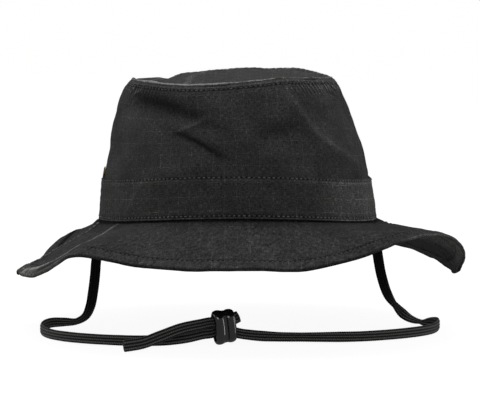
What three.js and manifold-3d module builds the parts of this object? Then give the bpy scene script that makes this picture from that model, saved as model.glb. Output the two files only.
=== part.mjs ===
// An angler hat: a soft crown of four cloth pieces, a drooping brim, and a flat braided chin strap
// that runs through a plastic slider. Millimetres, +Z up. The origin is the middle of the head
// opening, at the height of the base seam beside the ears. The front of the hat faces -Y. Azimuths are
// in degrees round the crown: 0 is +X and 90 is +Y.
import * as THREE from "three";
import { mergeVertices } from "three/addons/utils/BufferGeometryUtils.js";
import Module from "manifold-3d";

const wasm = await Module();
wasm.setup();

// Sizes of the cloth and of the hat
const GAP = 0.3; // between pieces that are sewn or set together
const WALL_CLOTH = 1.5;
const BAND_CLOTH = 1.2;
const TIP_CLOTH = 1.6;
const CROWN_HEIGHT = 88; // from the base seam beside the ears to the tip seam
const SADDLE = 7.4; // how far the base seam rises at the front and the back
const BAND_HEIGHT = 24.5;
const TIP_DOME = 2.4; // how far the tip stands up in its middle
const BRIM_WIDTH = 63; // along the cloth, from the base seam to the edge
const BRIM_CLOTH = 1.8;
const HEM_WIDTH = 8;
const HEM_STEP = 0.5; // how much thicker the folded hem is than the brim
const CURL_POWER = 4; // the curl gathers in the outer part of the brim

// Sizes of the strap, the slider and the eyelets
const STRAP_WIDTH = 5.7;
const STRAP_THICK = 1.8;
const STRAP_STEPS = 48;
const SLIDER_AT = new THREE.Vector3(-8.2, -89, -56.8);
const SLIDER_YAW = 20; // degrees, its left face turned to the front
const SLIDER_LEAN = -7; // degrees, its top leaning to the left
const EYELET_HEIGHT = 28.9;
const RIGHT_EYELET = 9; // azimuths
const LEFT_EYELET = 183;
const EYELET_BORE = 3.8;
const EYELET_BARREL = 5.2;
const EYELET_FLANGE = 8;
const EYELET_SHEET = 0.6;

// How finely the pieces are divided
const AROUND = 92;
const RAD = Math.PI / 180;

// The outside of the crown wall. lean is how far the crown stands over to the right.
const CROWN_ROWS = [
  { height: 0, halfWidth: 84.6, halfLength: 100.2, lean: -0.2 },
  { height: 13, halfWidth: 83.2, halfLength: 98.6, lean: -0.5 },
  { height: 26, halfWidth: 81.8, halfLength: 97.0, lean: -0.9 },
  { height: 36, halfWidth: 79.9, halfLength: 95.4, lean: -1.0 },
  { height: 45, halfWidth: 78.2, halfLength: 93.6, lean: -1.0 },
  { height: 54, halfWidth: 76.1, halfLength: 91.6, lean: -1.9 },
  { height: 63, halfWidth: 73.6, halfLength: 89.2, lean: -3.1 },
  { height: 71, halfWidth: 70.9, halfLength: 86.4, lean: -3.4 },
  { height: 78, halfWidth: 68.4, halfLength: 83.4, lean: -3.6 },
  { height: 83, halfWidth: 66.2, halfLength: 80.6, lean: -3.6 },
  { height: 88, halfWidth: 62.0, halfLength: 76.4, lean: -3.6 },
];

// Dents and ridges of the crown wall, each a soft line from one place on it to another. A negative
// depth is a ridge that stands out.
const CROWN_FOLDS = [
  { azimuth: [216, 250], height: [79, 67], width: 9, depth: 3.4 },
  { azimuth: [257, 244], height: [67, 58], width: 4.5, depth: -1.6 },
  { azimuth: [245, 266], height: [58, 43], width: 5, depth: 2.0 },
  { azimuth: [284, 305], height: [66, 49], width: 9, depth: 2.6 },
  { azimuth: [299, 309], height: [76, 57], width: 5.5, depth: -1.8 },
  { azimuth: [309, 338], height: [57, 36], width: 6, depth: -2.0 },
  { azimuth: [196, 207], height: [52, 36], width: 8, depth: 1.6 },
  { azimuth: [340, 352], height: [70, 56], width: 8, depth: 1.4 },
  { azimuth: [20, 42], height: [72, 55], width: 9, depth: 2.4 },
  { azimuth: [52, 78], height: [62, 74], width: 8, depth: 1.8 },
  { azimuth: [70, 96], height: [44, 50], width: 8, depth: 2.2 },
  { azimuth: [112, 138], height: [74, 58], width: 9, depth: 2.8 },
  { azimuth: [128, 112], height: [46, 38], width: 6, depth: -1.4 },
  { azimuth: [150, 170], height: [60, 46], width: 8, depth: 1.8 },
];

// How far the tip seam rises or falls round the crown
const SEAM_ROWS = [
  { azimuth: 0, rise: -0.5 },
  { azimuth: 20, rise: 0 },
  { azimuth: 34, rise: 2.3 },
  { azimuth: 58, rise: 3 },
  { azimuth: 88, rise: 2.7 },
  { azimuth: 106, rise: 1.4 },
  { azimuth: 122, rise: -1.4 },
  { azimuth: 138, rise: -4.2 },
  { azimuth: 160, rise: -2.2 },
  { azimuth: 180, rise: -0.8 },
  { azimuth: 210, rise: -1.6 },
  { azimuth: 240, rise: -2.6 },
  { azimuth: 262, rise: -1.8 },
  { azimuth: 286, rise: 0.6 },
  { azimuth: 302, rise: 1.8 },
  { azimuth: 330, rise: 0.6 },
];

// Where the tip seam gathers the top of the wall
const GATHER_ROWS = [
  { azimuth: 20, depth: 0.5 },
  { azimuth: 45, depth: 0.8 },
  { azimuth: 90, depth: 0.3 },
  { azimuth: 135, depth: 0.8 },
  { azimuth: 180, depth: 0.5 },
  { azimuth: 218, depth: 1.0 },
  { azimuth: 250, depth: 0.3 },
  { azimuth: 290, depth: 0.3 },
  { azimuth: 322, depth: 1.0 },
];
const GATHERS = 24; // round the whole seam
const GATHER_LENGTH = 13;

// Soft ridges of the tip that run from one place of its rim to another, by azimuth
const TIP_FOLDS = [
  { from: 242, to: 112, width: 9, depth: -1.1 },
  { from: 296, to: 62, width: 16, depth: 0.9 },
];

// The brim: how high its edge lies, and how many degrees its slope grows by towards the edge
const BRIM_ROWS = [
  { azimuth: 4, edge: -33.6, curl: 60 },
  { azimuth: 11, edge: -33.4, curl: 48 },
  { azimuth: 18, edge: -32.2, curl: 36 },
  { azimuth: 26, edge: -30, curl: 26 },
  { azimuth: 40, edge: -25.5, curl: 14 },
  { azimuth: 62, edge: -20, curl: 6 },
  { azimuth: 90, edge: -16, curl: 4 },
  { azimuth: 112, edge: -17.5, curl: 3 },
  { azimuth: 128, edge: -18.6, curl: 2 },
  { azimuth: 136, edge: -18.2, curl: 0 },
  { azimuth: 140, edge: -19.6, curl: 0 },
  { azimuth: 144, edge: -23.4, curl: 0 },
  { azimuth: 148, edge: -27.8, curl: 0 },
  { azimuth: 152, edge: -31, curl: 0 },
  { azimuth: 160, edge: -33.6, curl: 0 },
  { azimuth: 170, edge: -34.4, curl: 2 },
  { azimuth: 180, edge: -33.8, curl: 4 },
  { azimuth: 190, edge: -31.6, curl: 7 },
  { azimuth: 202, edge: -29.7, curl: 11 },
  { azimuth: 208, edge: -28, curl: 15 },
  { azimuth: 214, edge: -25.6, curl: 17 },
  { azimuth: 220, edge: -21.8, curl: 18 },
  { azimuth: 224, edge: -17.4, curl: 17 },
  { azimuth: 228, edge: -12.6, curl: 15 },
  { azimuth: 232, edge: -10, curl: 12 },
  { azimuth: 236, edge: -9.8, curl: 10 },
  { azimuth: 242, edge: -11.8, curl: 8 },
  { azimuth: 248, edge: -13.8, curl: 7 },
  { azimuth: 256, edge: -15, curl: 6 },
  { azimuth: 270, edge: -15.2, curl: 5 },
  { azimuth: 284, edge: -15.4, curl: 5 },
  { azimuth: 292, edge: -12.6, curl: 5 },
  { azimuth: 300, edge: -6.8, curl: 6 },
  { azimuth: 308, edge: -1.9, curl: 7 },
  { azimuth: 314, edge: 0, curl: 8 },
  { azimuth: 319, edge: 0, curl: 9 },
  { azimuth: 324, edge: -1.8, curl: 12 },
  { azimuth: 329, edge: -5.2, curl: 20 },
  { azimuth: 334, edge: -9.8, curl: 34 },
  { azimuth: 340, edge: -15.4, curl: 52 },
  { azimuth: 346, edge: -21, curl: 66 },
  { azimuth: 352, edge: -27, curl: 72 },
  { azimuth: 358, edge: -31.2, curl: 68 },
];

// The middle line of each strap, from the base seam to its cut end, and the way its width points
const LEFT_ROUTE = [
  { at: [-84.4, 0, -3.4], across: [1, 0, 0] },
  { at: [-85.8, 0.2, -14], across: [1, 0, 0] },
  { at: [-87.9, 0.6, -25], across: [1, 0, 0] },
  { at: [-88.9, 1.0, -36], across: [1, 0, 0] },
  { at: [-90.2, 1.6, -46], across: [1, 0.1, 0] },
  { at: [-91.8, 2.2, -54.4], across: [1, 0.3, -0.3] },
  { at: [-94.8, 2.8, -60.8], across: [0.6, 0.6, -0.6] },
  { at: [-100.4, 3.6, -64.2], across: [0.2, 0.8, -0.7] },
  { at: [-108, 3.2, -64.6], across: [0, 0.4, -0.9] },
  { at: [-114.6, 0, -64.5], across: [0, 0.1, -1] },
  { at: [-119, -8, -64.5], across: [0, 0, -1] },
  { at: [-120.8, -20, -64.5], across: [0, 0, -1] },
  { at: [-120.4, -37, -64.5], across: [0, 0, -1] },
  { at: [-116.6, -53, -64.5], across: [0, 0, -1] },
  { at: [-109.5, -67, -64.5], across: [0, 0, -1] },
  { at: [-99.5, -78, -64.5], across: [0, 0, -1] },
  { at: [-87, -86.5, -64.5], across: [0, 0, -1] },
  { at: [-73, -92.6, -64.5], across: [0, 0, -1] },
  { at: [-58, -95.8, -64.5], across: [0, 0, -1] },
  { at: [-43, -96, -64], across: [0, 0, -1] },
  { at: [-30, -94.2, -62.8], across: [0, 0, -1] },
  { at: [-21, -91.9, -61.4], across: [0, 0, -1] },
  { at: [-14.8, -90.1, -60.2], across: [0, 0, -1] },
  { at: [-8.6, -87.8, -56.4], across: [0, 0, -1] },
  { at: [-2.4, -85.5, -52.6], across: [0, 0, -1] },
  { at: [0.8, -84.4, -51], across: [0, 0, -1] },
];
const RIGHT_ROUTE = [
  { at: [84.4, 0, -3.0], across: [1, 0, 0] },
  { at: [85.6, 0.4, -14], across: [1, 0, 0] },
  { at: [87.0, 1.2, -24], across: [1, 0, 0] },
  { at: [89.2, 2.4, -35.5], across: [1, 0, 0] },
  { at: [93.0, 4.4, -47], across: [1, 0.1, 0.3] },
  { at: [97.6, 6.6, -54], across: [0.7, 0.6, 0.5] },
  { at: [102.8, 8.8, -59.8], across: [0.3, 0.5, 0.9] },
  { at: [108.4, 10.2, -63.6], across: [0, 0.8, 0.6] },
  { at: [114.2, 9.4, -65.2], across: [0, 1, 0.25] },
  { at: [119.8, 4.8, -65.2], across: [0.5, 0.7, 0.5] },
  { at: [123.0, -3.5, -64.7], across: [0.3, 0, 1] },
  { at: [123.4, -16, -64.5], across: [0, 0, 1] },
  { at: [120, -31, -64.5], across: [0, 0, 1] },
  { at: [113, -44, -64.5], across: [0, 0, 1] },
  { at: [102, -56, -64.5], across: [0, 0, 1] },
  { at: [88.8, -66, -64.5], across: [0, 0, 1] },
  { at: [73, -74, -64.5], across: [0, 0, 1] },
  { at: [55, -78.6, -64.3], across: [0, 0.25, 1] },
  { at: [38, -80.8, -64.1], across: [0, 0.5, 0.9] },
  { at: [22, -83, -63.6], across: [0, 0.4, 1] },
  { at: [9, -85.8, -62.4], across: [0, 0.1, 1] },
  { at: [-1.6, -88.1, -60.4], across: [0, 0, 1] },
  { at: [-7.8, -90.2, -57.0], across: [0, 0, 1] },
  { at: [-14, -92.6, -53.4], across: [0, 0, 1] },
  { at: [-23, -96.6, -53.4], across: [0, 0, 1] },
  { at: [-34, -102, -56.4], across: [0, 0, 1] },
  { at: [-45, -107.8, -60.3], across: [0, 0, 1] },
  { at: [-56, -114, -63.7], across: [0, 0, 1] },
  { at: [-67, -120.4, -64.8], across: [0, 0, 1] },
];

// The slider, by sections along the strap: its half height and half depth
const SLIDER_ROWS = [
  { along: -6.6, high: 8.9, deep: 3.9 },
  { along: -6.2, high: 10.0, deep: 4.8 },
  { along: -5.3, high: 10.4, deep: 5.4 },
  { along: -1.9, high: 10.4, deep: 5.4 },
  { along: -1.0, high: 9.9, deep: 4.8 },
  { along: -0.8, high: 9.0, deep: 3.9 },
  { along: 0.8, high: 9.0, deep: 3.9 },
  { along: 1.0, high: 9.9, deep: 4.8 },
  { along: 1.9, high: 10.1, deep: 5.2 },
  { along: 5.3, high: 9.9, deep: 5.0 },
  { along: 6.2, high: 9.4, deep: 4.4 },
  { along: 6.6, high: 8.7, deep: 3.6 },
];
const SLIDER_WINDOW = { high: 8.2, deep: 2.75 }; // half sizes
const SLIDER_SIDES = 24;

const COTTON = { color: 0x2a2a2c, roughness: 0.92, metalness: 0 };
const BRAID = { color: 0x1a1a1b, roughness: 0.85, metalness: 0 };
const GLOSSY_PLASTIC = { color: 0x0d0d0e, roughness: 0.22, metalness: 0 };
const AGED_BRASS = { color: 0x6d6238, roughness: 0.4, metalness: 0.9 };

// The value of a table's column at a place between its rows, on a smooth curve through them.
// A table with a turn runs round and meets itself.
function between(rows, key, column, at, turn = 0) {
  const count = rows.length;
  const row = (index) => {
    const lap = turn ? Math.floor(index / count) : 0;
    const found = rows[turn ? index - lap * count : THREE.MathUtils.clamp(index, 0, count - 1)];
    return { at: found[key] + lap * turn, value: found[column] };
  };
  const place = turn ? THREE.MathUtils.euclideanModulo(at, turn) : at;
  let index = turn ? -1 : 0;
  const last = turn ? count - 1 : count - 2;
  while (index < last && row(index + 1).at <= place) {
    index += 1;
  }
  const [before, start, end, after] = [-1, 0, 1, 2].map((step) => row(index + step));
  const span = end.at - start.at;
  const t = THREE.MathUtils.clamp((place - start.at) / span, 0, 1);
  const startSlope = ((end.value - before.value) / (end.at - before.at)) * span;
  const endSlope = ((after.value - start.value) / (after.at - start.at)) * span;
  const rise = end.value - start.value;
  return (
    start.value +
    t * (startSlope + t * (3 * rise - 2 * startSlope - endSlope + t * (startSlope + endSlope - 2 * rise)))
  );
}

// How far a place lies from a line between two others, all of them flat points
function distanceToLine(point, start, end) {
  const line = new THREE.Line3(new THREE.Vector3(...start, 0), new THREE.Vector3(...end, 0));
  const at = new THREE.Vector3(...point, 0);
  return line.closestPointToPoint(at, true, new THREE.Vector3()).distanceTo(at);
}

// How deep the folds and the gathers push the crown wall in at a place on it
function wallDent(azimuth, height) {
  const girth = 88; // millimetres of cloth for each radian
  let dent = 0;
  for (const fold of CROWN_FOLDS) {
    const middle = (fold.azimuth[0] + fold.azimuth[1]) / 2;
    const near = middle + THREE.MathUtils.euclideanModulo(azimuth - middle + 180, 360) - 180;
    const flat = (degrees, up) => [degrees * RAD * girth, up];
    const away = distanceToLine(
      flat(near, height),
      flat(fold.azimuth[0], fold.height[0]),
      flat(fold.azimuth[1], fold.height[1]),
    );
    dent += fold.depth * Math.exp(-((away / fold.width) ** 2));
  }
  const fade = Math.exp(-(((CROWN_HEIGHT - height) / GATHER_LENGTH) ** 2));
  const depth = between(GATHER_ROWS, "azimuth", "depth", azimuth, 360);
  const seam = THREE.MathUtils.smoothstep(CROWN_HEIGHT - height, 0, 4);
  return dent * seam + depth * fade * Math.cos(azimuth * RAD * GATHERS);
}

// How far the saddle of the base seam and the waves of the tip seam lift a place of the crown
function lift(azimuth, height) {
  const way = THREE.MathUtils.smoothstep(height, BAND_HEIGHT, CROWN_HEIGHT);
  const rise = between(SEAM_ROWS, "azimuth", "rise", azimuth, 360);
  return SADDLE * Math.sin(azimuth * RAD) ** 2 * (1 - way) + rise * way;
}

// The outward direction of the crown's oval at an azimuth
function outward(azimuth) {
  const x = Math.cos(azimuth * RAD) / CROWN_ROWS[0].halfWidth;
  const y = Math.sin(azimuth * RAD) / CROWN_ROWS[0].halfLength;
  return new THREE.Vector3(x, y, 0).normalize();
}

// A place on the crown wall, a given depth of cloth inside its outer face
function onWall(azimuth, height, inside) {
  const [halfWidth, halfLength, lean] = ["halfWidth", "halfLength", "lean"].map((column) =>
    between(CROWN_ROWS, "height", column, height),
  );
  const place = new THREE.Vector3(
    lean + halfWidth * Math.cos(azimuth * RAD),
    halfLength * Math.sin(azimuth * RAD),
    height + lift(azimuth, height),
  );
  return place.addScaledVector(outward(azimuth), -inside - wallDent(azimuth, height));
}

// A lathed ring whose points are moved to where a function puts them. Each profile point holds
// what the function needs to place it, at any azimuth in degrees.
function shapedRing(profile, place, sides = AROUND) {
  const outline = profile.map((row, index) => new THREE.Vector2(row.axis ? 0 : 1, index));
  const geometry = new THREE.LatheGeometry(outline, sides);
  const position = geometry.getAttribute("position");
  for (let side = 0; side <= sides; side += 1) {
    profile.forEach((row, index) => {
      const azimuth = ((side % sides) * 360) / sides;
      const { x, y, z } = place(row, azimuth);
      position.setXYZ(side * profile.length + index, x, y, z);
    });
  }
  return closed(geometry);
}

// Only the positions of a geometry, with the points that fall together made one and the thin
// faces that this leaves dropped
function closed(geometry) {
  geometry.deleteAttribute("normal");
  geometry.deleteAttribute("uv");
  const merged = mergeVertices(geometry, 1e-3);
  const index = merged.getIndex();
  const kept = [];
  for (let face = 0; face < index.count; face += 3) {
    const [a, b, c] = [0, 1, 2].map((corner) => index.getX(face + corner));
    if (a !== b && b !== c && c !== a) {
      kept.push(a, b, c);
    }
  }
  merged.setIndex(kept);
  return merged;
}

function solid(geometry) {
  return new wasm.Manifold(
    new wasm.Mesh({
      numProp: 3,
      vertProperties: new Float32Array(geometry.getAttribute("position").array),
      triVerts: new Uint32Array(geometry.getIndex().array),
    }),
  );
}

function geometryOf(made) {
  const mesh = made.getMesh();
  const geometry = new THREE.BufferGeometry();
  geometry.setAttribute("position", new THREE.BufferAttribute(mesh.vertProperties, 3));
  geometry.setIndex(new THREE.BufferAttribute(mesh.triVerts, 1));
  return geometry;
}

function piece(name, geometry, look) {
  geometry.computeVertexNormals();
  const mesh = new THREE.Mesh(geometry, new THREE.MeshStandardMaterial(look));
  mesh.name = name;
  return mesh;
}

// A strip of cloth round the crown, with rings at the given heights outside and inside
function wallStrip(heights, outerInside, innerInside) {
  const outer = heights.map((height) => ({ height, inside: outerInside }));
  const inner = heights.map((height) => ({ height, inside: innerInside })).reverse();
  const profile = [...outer, ...inner, outer[0]];
  return shapedRing(profile, (row, azimuth) => onWall(azimuth, row.height, row.inside));
}

// Crown wall: from the base seam to the tip seam, with a hole for each eyelet
function crownWall() {
  const top = CROWN_HEIGHT - TIP_CLOTH - GAP;
  const heights = [GAP, BAND_HEIGHT + 1, 34, 43, 52, 61, 69, 76, 82, top];
  let wall = solid(wallStrip(heights, 0, WALL_CLOTH));
  for (const azimuth of [RIGHT_EYELET, LEFT_EYELET]) {
    const drill = new THREE.CylinderGeometry(EYELET_BARREL / 2 + GAP, EYELET_BARREL / 2 + GAP, 12, 16);
    drill.applyMatrix4(eyeletPlace(azimuth));
    wall = wall.subtract(solid(closed(drill)));
  }
  return piece("crown_wall", geometryOf(wall), COTTON);
}

// Crown band: sewn round the foot of the wall, over its outer face
function crownBand() {
  const heights = [GAP, 12, BAND_HEIGHT];
  return piece("crown_band", wallStrip(heights, -GAP - BAND_CLOTH, -GAP), COTTON);
}

// Crown tip: a domed oval that closes the crown, with two soft ridges across it
function crownTip() {
  const top = CROWN_ROWS[CROWN_ROWS.length - 1];
  const rings = [0.45, 0.78, 1];
  const upper = rings.map((reach) => ({ reach, under: 0 }));
  const lower = rings.map((reach) => ({ reach, under: TIP_CLOTH })).reverse();
  const profile = [{ axis: true, reach: 0, under: 0 }, ...upper, ...lower];
  profile.push({ axis: true, reach: 0, under: TIP_CLOTH });
  const rim = (azimuth) => [
    top.lean + (top.halfWidth + 0.6) * Math.cos(azimuth * RAD),
    (top.halfLength + 0.6) * Math.sin(azimuth * RAD),
  ];
  const place = (row, azimuth) => {
    const [x, y] = rim(azimuth);
    const flat = [top.lean + (x - top.lean) * row.reach, y * row.reach];
    const rise = TIP_DOME * (1 - row.reach ** 2);
    let dent = 0;
    for (const fold of TIP_FOLDS) {
      const away = distanceToLine(flat, rim(fold.from), rim(fold.to));
      dent += fold.depth * Math.exp(-((away / fold.width) ** 2));
    }
    const seam = CROWN_HEIGHT + lift(azimuth, CROWN_HEIGHT) * row.reach ** 2;
    const height = seam + rise - dent * (1 - row.reach ** 6);
    return new THREE.Vector3(...flat, height - row.under);
  };
  return piece("crown_tip", shapedRing(profile.reverse(), place), COTTON);
}

// The brim's section at an azimuth: its places along the cloth as distance out, height and slope.
// The slope at the seam is found by halving until the edge lies where the table says.
function brimSection(azimuth) {
  const edge = between(BRIM_ROWS, "azimuth", "edge", azimuth, 360);
  const curl = between(BRIM_ROWS, "azimuth", "curl", azimuth, 360);
  const fall = lift(azimuth, 0) - edge;
  const steps = 40;
  const walk = (seamSlope) => {
    const path = [{ out: 0, down: 0, slope: seamSlope }];
    for (let step = 1; step <= steps; step += 1) {
      const slope = seamSlope + curl * ((step - 0.5) / steps) ** CURL_POWER;
      const from = path[step - 1];
      path.push({
        out: from.out + (Math.cos(slope * RAD) * BRIM_WIDTH) / steps,
        down: from.down + (Math.sin(slope * RAD) * BRIM_WIDTH) / steps,
        slope,
      });
    }
    return path;
  };
  let [low, high] = [-45, 80];
  for (let turn = 0; turn < 20; turn += 1) {
    const middle = (low + high) / 2;
    [low, high] = walk(middle)[steps].down < fall ? [middle, high] : [low, middle];
  }
  return walk((low + high) / 2);
}

// Brim: a ring of double cloth, level where the crown stands on it, then falling to its hem
function brim() {
  const seat = WALL_CLOTH; // how far the brim reaches in under the wall
  const stations = [0, 0.16, 0.36, 0.56, 0.73, 1 - HEM_WIDTH / BRIM_WIDTH, 1];
  const upper = [{ seat: true, under: 0 }, ...stations.map((way) => ({ way, under: 0 }))];
  const lower = [{ seat: true, under: BRIM_CLOTH }, ...stations.map((way) => ({ way, under: BRIM_CLOTH }))];
  const profile = [...upper, ...lower.reverse(), upper[0]].reverse();
  const sections = new Map();
  const place = (row, azimuth) => {
    if (row.seat) {
      return onWall(azimuth, 0, seat).setZ(lift(azimuth, 0) - row.under);
    }
    if (!sections.has(azimuth)) {
      sections.set(azimuth, brimSection(azimuth));
    }
    const section = sections.get(azimuth);
    const { out, down, slope } = section[Math.round(row.way * (section.length - 1))];
    const thick = row.under + (row.way === 1 && row.under ? HEM_STEP : 0);
    const start = onWall(azimuth, 0, -GAP - BAND_CLOTH);
    start.addScaledVector(outward(azimuth), out - thick * Math.sin(slope * RAD));
    return start.setZ(lift(azimuth, 0) - down - thick * Math.cos(slope * RAD));
  };
  return piece("brim", shapedRing(profile, place), COTTON);
}

// Where an eyelet sits on the wall: its axis points out of the cloth, which leans in a little
function eyeletPlace(azimuth) {
  const middle = onWall(azimuth, EYELET_HEIGHT, WALL_CLOTH / 2);
  const above = onWall(azimuth, EYELET_HEIGHT + 4, WALL_CLOTH / 2);
  const below = onWall(azimuth, EYELET_HEIGHT - 4, WALL_CLOTH / 2);
  const up = above.sub(below).normalize();
  const side = new THREE.Vector3(-Math.sin(azimuth * RAD), Math.cos(azimuth * RAD), 0);
  const axis = side.clone().cross(up);
  return new THREE.Matrix4().makeBasis(side, axis, up.negate()).setPosition(middle);
}

// Eyelet: a pressed brass ring with a barrel through the cloth and a rolled flange on each face
function eyelet(name, azimuth) {
  const face = WALL_CLOTH / 2 + GAP;
  const flange = EYELET_FLANGE / 2;
  const rows = [
    [EYELET_BORE / 2, -face - EYELET_SHEET],
    [flange - 0.8, -face - EYELET_SHEET],
    [flange - 0.8, -face],
    [EYELET_BARREL / 2, -face],
    [EYELET_BARREL / 2, face],
    [flange, face],
    [flange - 0.5, face + EYELET_SHEET],
    [EYELET_BORE / 2 + 0.3, face + EYELET_SHEET + 0.2],
    [EYELET_BORE / 2, face],
    [EYELET_BORE / 2, -face - EYELET_SHEET],
  ];
  const ring = new THREE.LatheGeometry(rows.map(([radius, height]) => new THREE.Vector2(radius, height)), 16);
  ring.applyMatrix4(eyeletPlace(azimuth));
  return piece(name, closed(ring), AGED_BRASS);
}

// A curve through a strap's route that also tells which way the strap's width points
class StrapCurve extends THREE.CatmullRomCurve3 {
  constructor(route) {
    super(route.map((row) => new THREE.Vector3(...row.at)), false, "centripetal");
    this.route = route;
  }

  computeFrenetFrames(steps) {
    const frames = { tangents: [], normals: [], binormals: [] };
    for (let step = 0; step <= steps; step += 1) {
      const way = this.getUtoTmapping(step / steps) * (this.route.length - 1);
      const index = Math.min(Math.floor(way), this.route.length - 2);
      const across = new THREE.Vector3(...this.route[index].across);
      across.lerp(new THREE.Vector3(...this.route[index + 1].across), way - index);
      const tangent = this.getTangentAt(step / steps);
      across.addScaledVector(tangent, -across.dot(tangent)).normalize();
      frames.tangents.push(tangent);
      frames.normals.push(across);
      frames.binormals.push(tangent.clone().cross(across));
    }
    return frames;
  }
}

// Strap: a flat braid with rounded edges, drawn along its route
function strap(name, route) {
  const [side, face] = [STRAP_WIDTH / 2, STRAP_THICK / 2];
  const round = face * 0.55;
  const section = new THREE.Shape(
    [
      [side, round],
      [side - round, face],
      [round - side, face],
      [-side, round],
      [-side, -round],
      [round - side, -face],
      [side - round, -face],
      [side, -round],
    ].map(([x, y]) => new THREE.Vector2(x, y)),
  );
  const extrudePath = new StrapCurve(route);
  const drawn = new THREE.ExtrudeGeometry(section, { steps: STRAP_STEPS, extrudePath });
  return piece(name, closed(drawn), BRAID);
}

// A point of a rounded oblong with the given half sizes, squarer with a higher power
function oblong(high, deep, power, azimuth) {
  const bend = (value) => Math.sign(value) * Math.abs(value) ** (2 / power);
  return [bend(Math.sin(azimuth * RAD)) * high, bend(Math.cos(azimuth * RAD)) * deep];
}

// Slider: two moulded flanges with a groove between them and one window for both straps
function strapSlider() {
  const window = { high: SLIDER_WINDOW.high, deep: SLIDER_WINDOW.deep, power: 6 };
  const outer = SLIDER_ROWS.map((row) => ({ ...row, power: 2.4 }));
  const first = SLIDER_ROWS[0].along;
  const last = SLIDER_ROWS[SLIDER_ROWS.length - 1].along;
  const profile = [...outer, { ...window, along: last }, { ...window, along: first }, outer[0]];
  const place = (row, azimuth) => {
    const [z, y] = oblong(row.high, row.deep, row.power, azimuth);
    return new THREE.Vector3(row.along, y, z);
  };
  const body = shapedRing(profile, place, SLIDER_SIDES);
  const slider = piece("strap_slider", body, GLOSSY_PLASTIC);
  slider.position.copy(SLIDER_AT);
  slider.rotation.set(0, SLIDER_LEAN * RAD, SLIDER_YAW * RAD, "ZYX");
  return slider;
}

const hat = new THREE.Group();
hat.add(crownTip(), crownWall(), crownBand(), brim());
hat.add(eyelet("eyelet_right", RIGHT_EYELET), eyelet("eyelet_left", LEFT_EYELET));
hat.add(strap("strap_left", LEFT_ROUTE), strap("strap_right", RIGHT_ROUTE), strapSlider());

export default hat;
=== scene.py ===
import math

import bpy
import numpy as np
from mathutils import Matrix, Vector


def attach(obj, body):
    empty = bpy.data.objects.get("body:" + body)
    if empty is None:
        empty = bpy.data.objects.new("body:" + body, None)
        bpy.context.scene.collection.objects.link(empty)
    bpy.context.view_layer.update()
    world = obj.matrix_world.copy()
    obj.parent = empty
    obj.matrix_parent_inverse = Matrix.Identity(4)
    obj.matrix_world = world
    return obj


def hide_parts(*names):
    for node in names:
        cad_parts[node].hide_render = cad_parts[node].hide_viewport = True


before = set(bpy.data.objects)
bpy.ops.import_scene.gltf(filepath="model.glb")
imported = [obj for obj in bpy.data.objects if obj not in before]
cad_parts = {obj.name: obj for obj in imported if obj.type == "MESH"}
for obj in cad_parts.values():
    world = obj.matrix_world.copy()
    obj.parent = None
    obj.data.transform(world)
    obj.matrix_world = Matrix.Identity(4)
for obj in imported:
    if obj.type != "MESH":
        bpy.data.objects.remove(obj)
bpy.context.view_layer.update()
bpy.ops.object.select_all(action="DESELECT")
MM = 0.001

# Camera. The photograph was taken from the front with a long lens, two metres away and 4.5 degrees
# above level, looking at the middle of the hat.
VIEW_DOWN = math.radians(4.5)
VIEW_DISTANCE = 2.0
VIEW_TARGET = Vector((0.00124, 0.0, 0.0056))
VIEW_WIDTH = 0.2976
SENSOR_WIDTH = 36
camera_data = bpy.data.cameras.new("camera")
camera_data.sensor_width = SENSOR_WIDTH
camera_data.lens = SENSOR_WIDTH * VIEW_DISTANCE / VIEW_WIDTH
camera_data.clip_start = 0.05
camera_data.clip_end = 60
camera = bpy.data.objects.new("camera", camera_data)
bpy.context.scene.collection.objects.link(camera)
view_back = Vector((0, -math.cos(VIEW_DOWN), math.sin(VIEW_DOWN)))
camera.location = VIEW_TARGET + view_back * VIEW_DISTANCE
camera.rotation_euler = (math.radians(90) - VIEW_DOWN, 0, 0)
bpy.context.scene.camera = camera

# Chin straps: flat tubular braids of fine black polyester yarn, 6 mm wide, sewn in at the base seam
# on each side. Both run through the slider; the left one ends just past it, the right one in a tail.
STRAP_WIDTH = 6.0
STRAP_THICK = 1.8
STRAP_ROUNDNESS = 0.75
STRAP_STEP = 0.42
STRAP_SIDES = 60
BRAID_RIBS = 8
BRAID_PITCH = 1.4
RIB_DEPTH = 0.4
# Hanging slack, a braid is wider than its nominal size, and widest where it nears its cut end.
SLACK_WIDTH = 1.07
END_WIDENING = 0.13
END_REACH = 55
# How much painted light the braid takes at so many millimetres along it: least, a painted shade, under
# the brim, most where it turns forward into the light, and less again in front.
BRAID_LIGHT_AT = [46, 72, 115]
BRAID_LIGHT_BY = [0.62, 1.15, 1.0]
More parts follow.
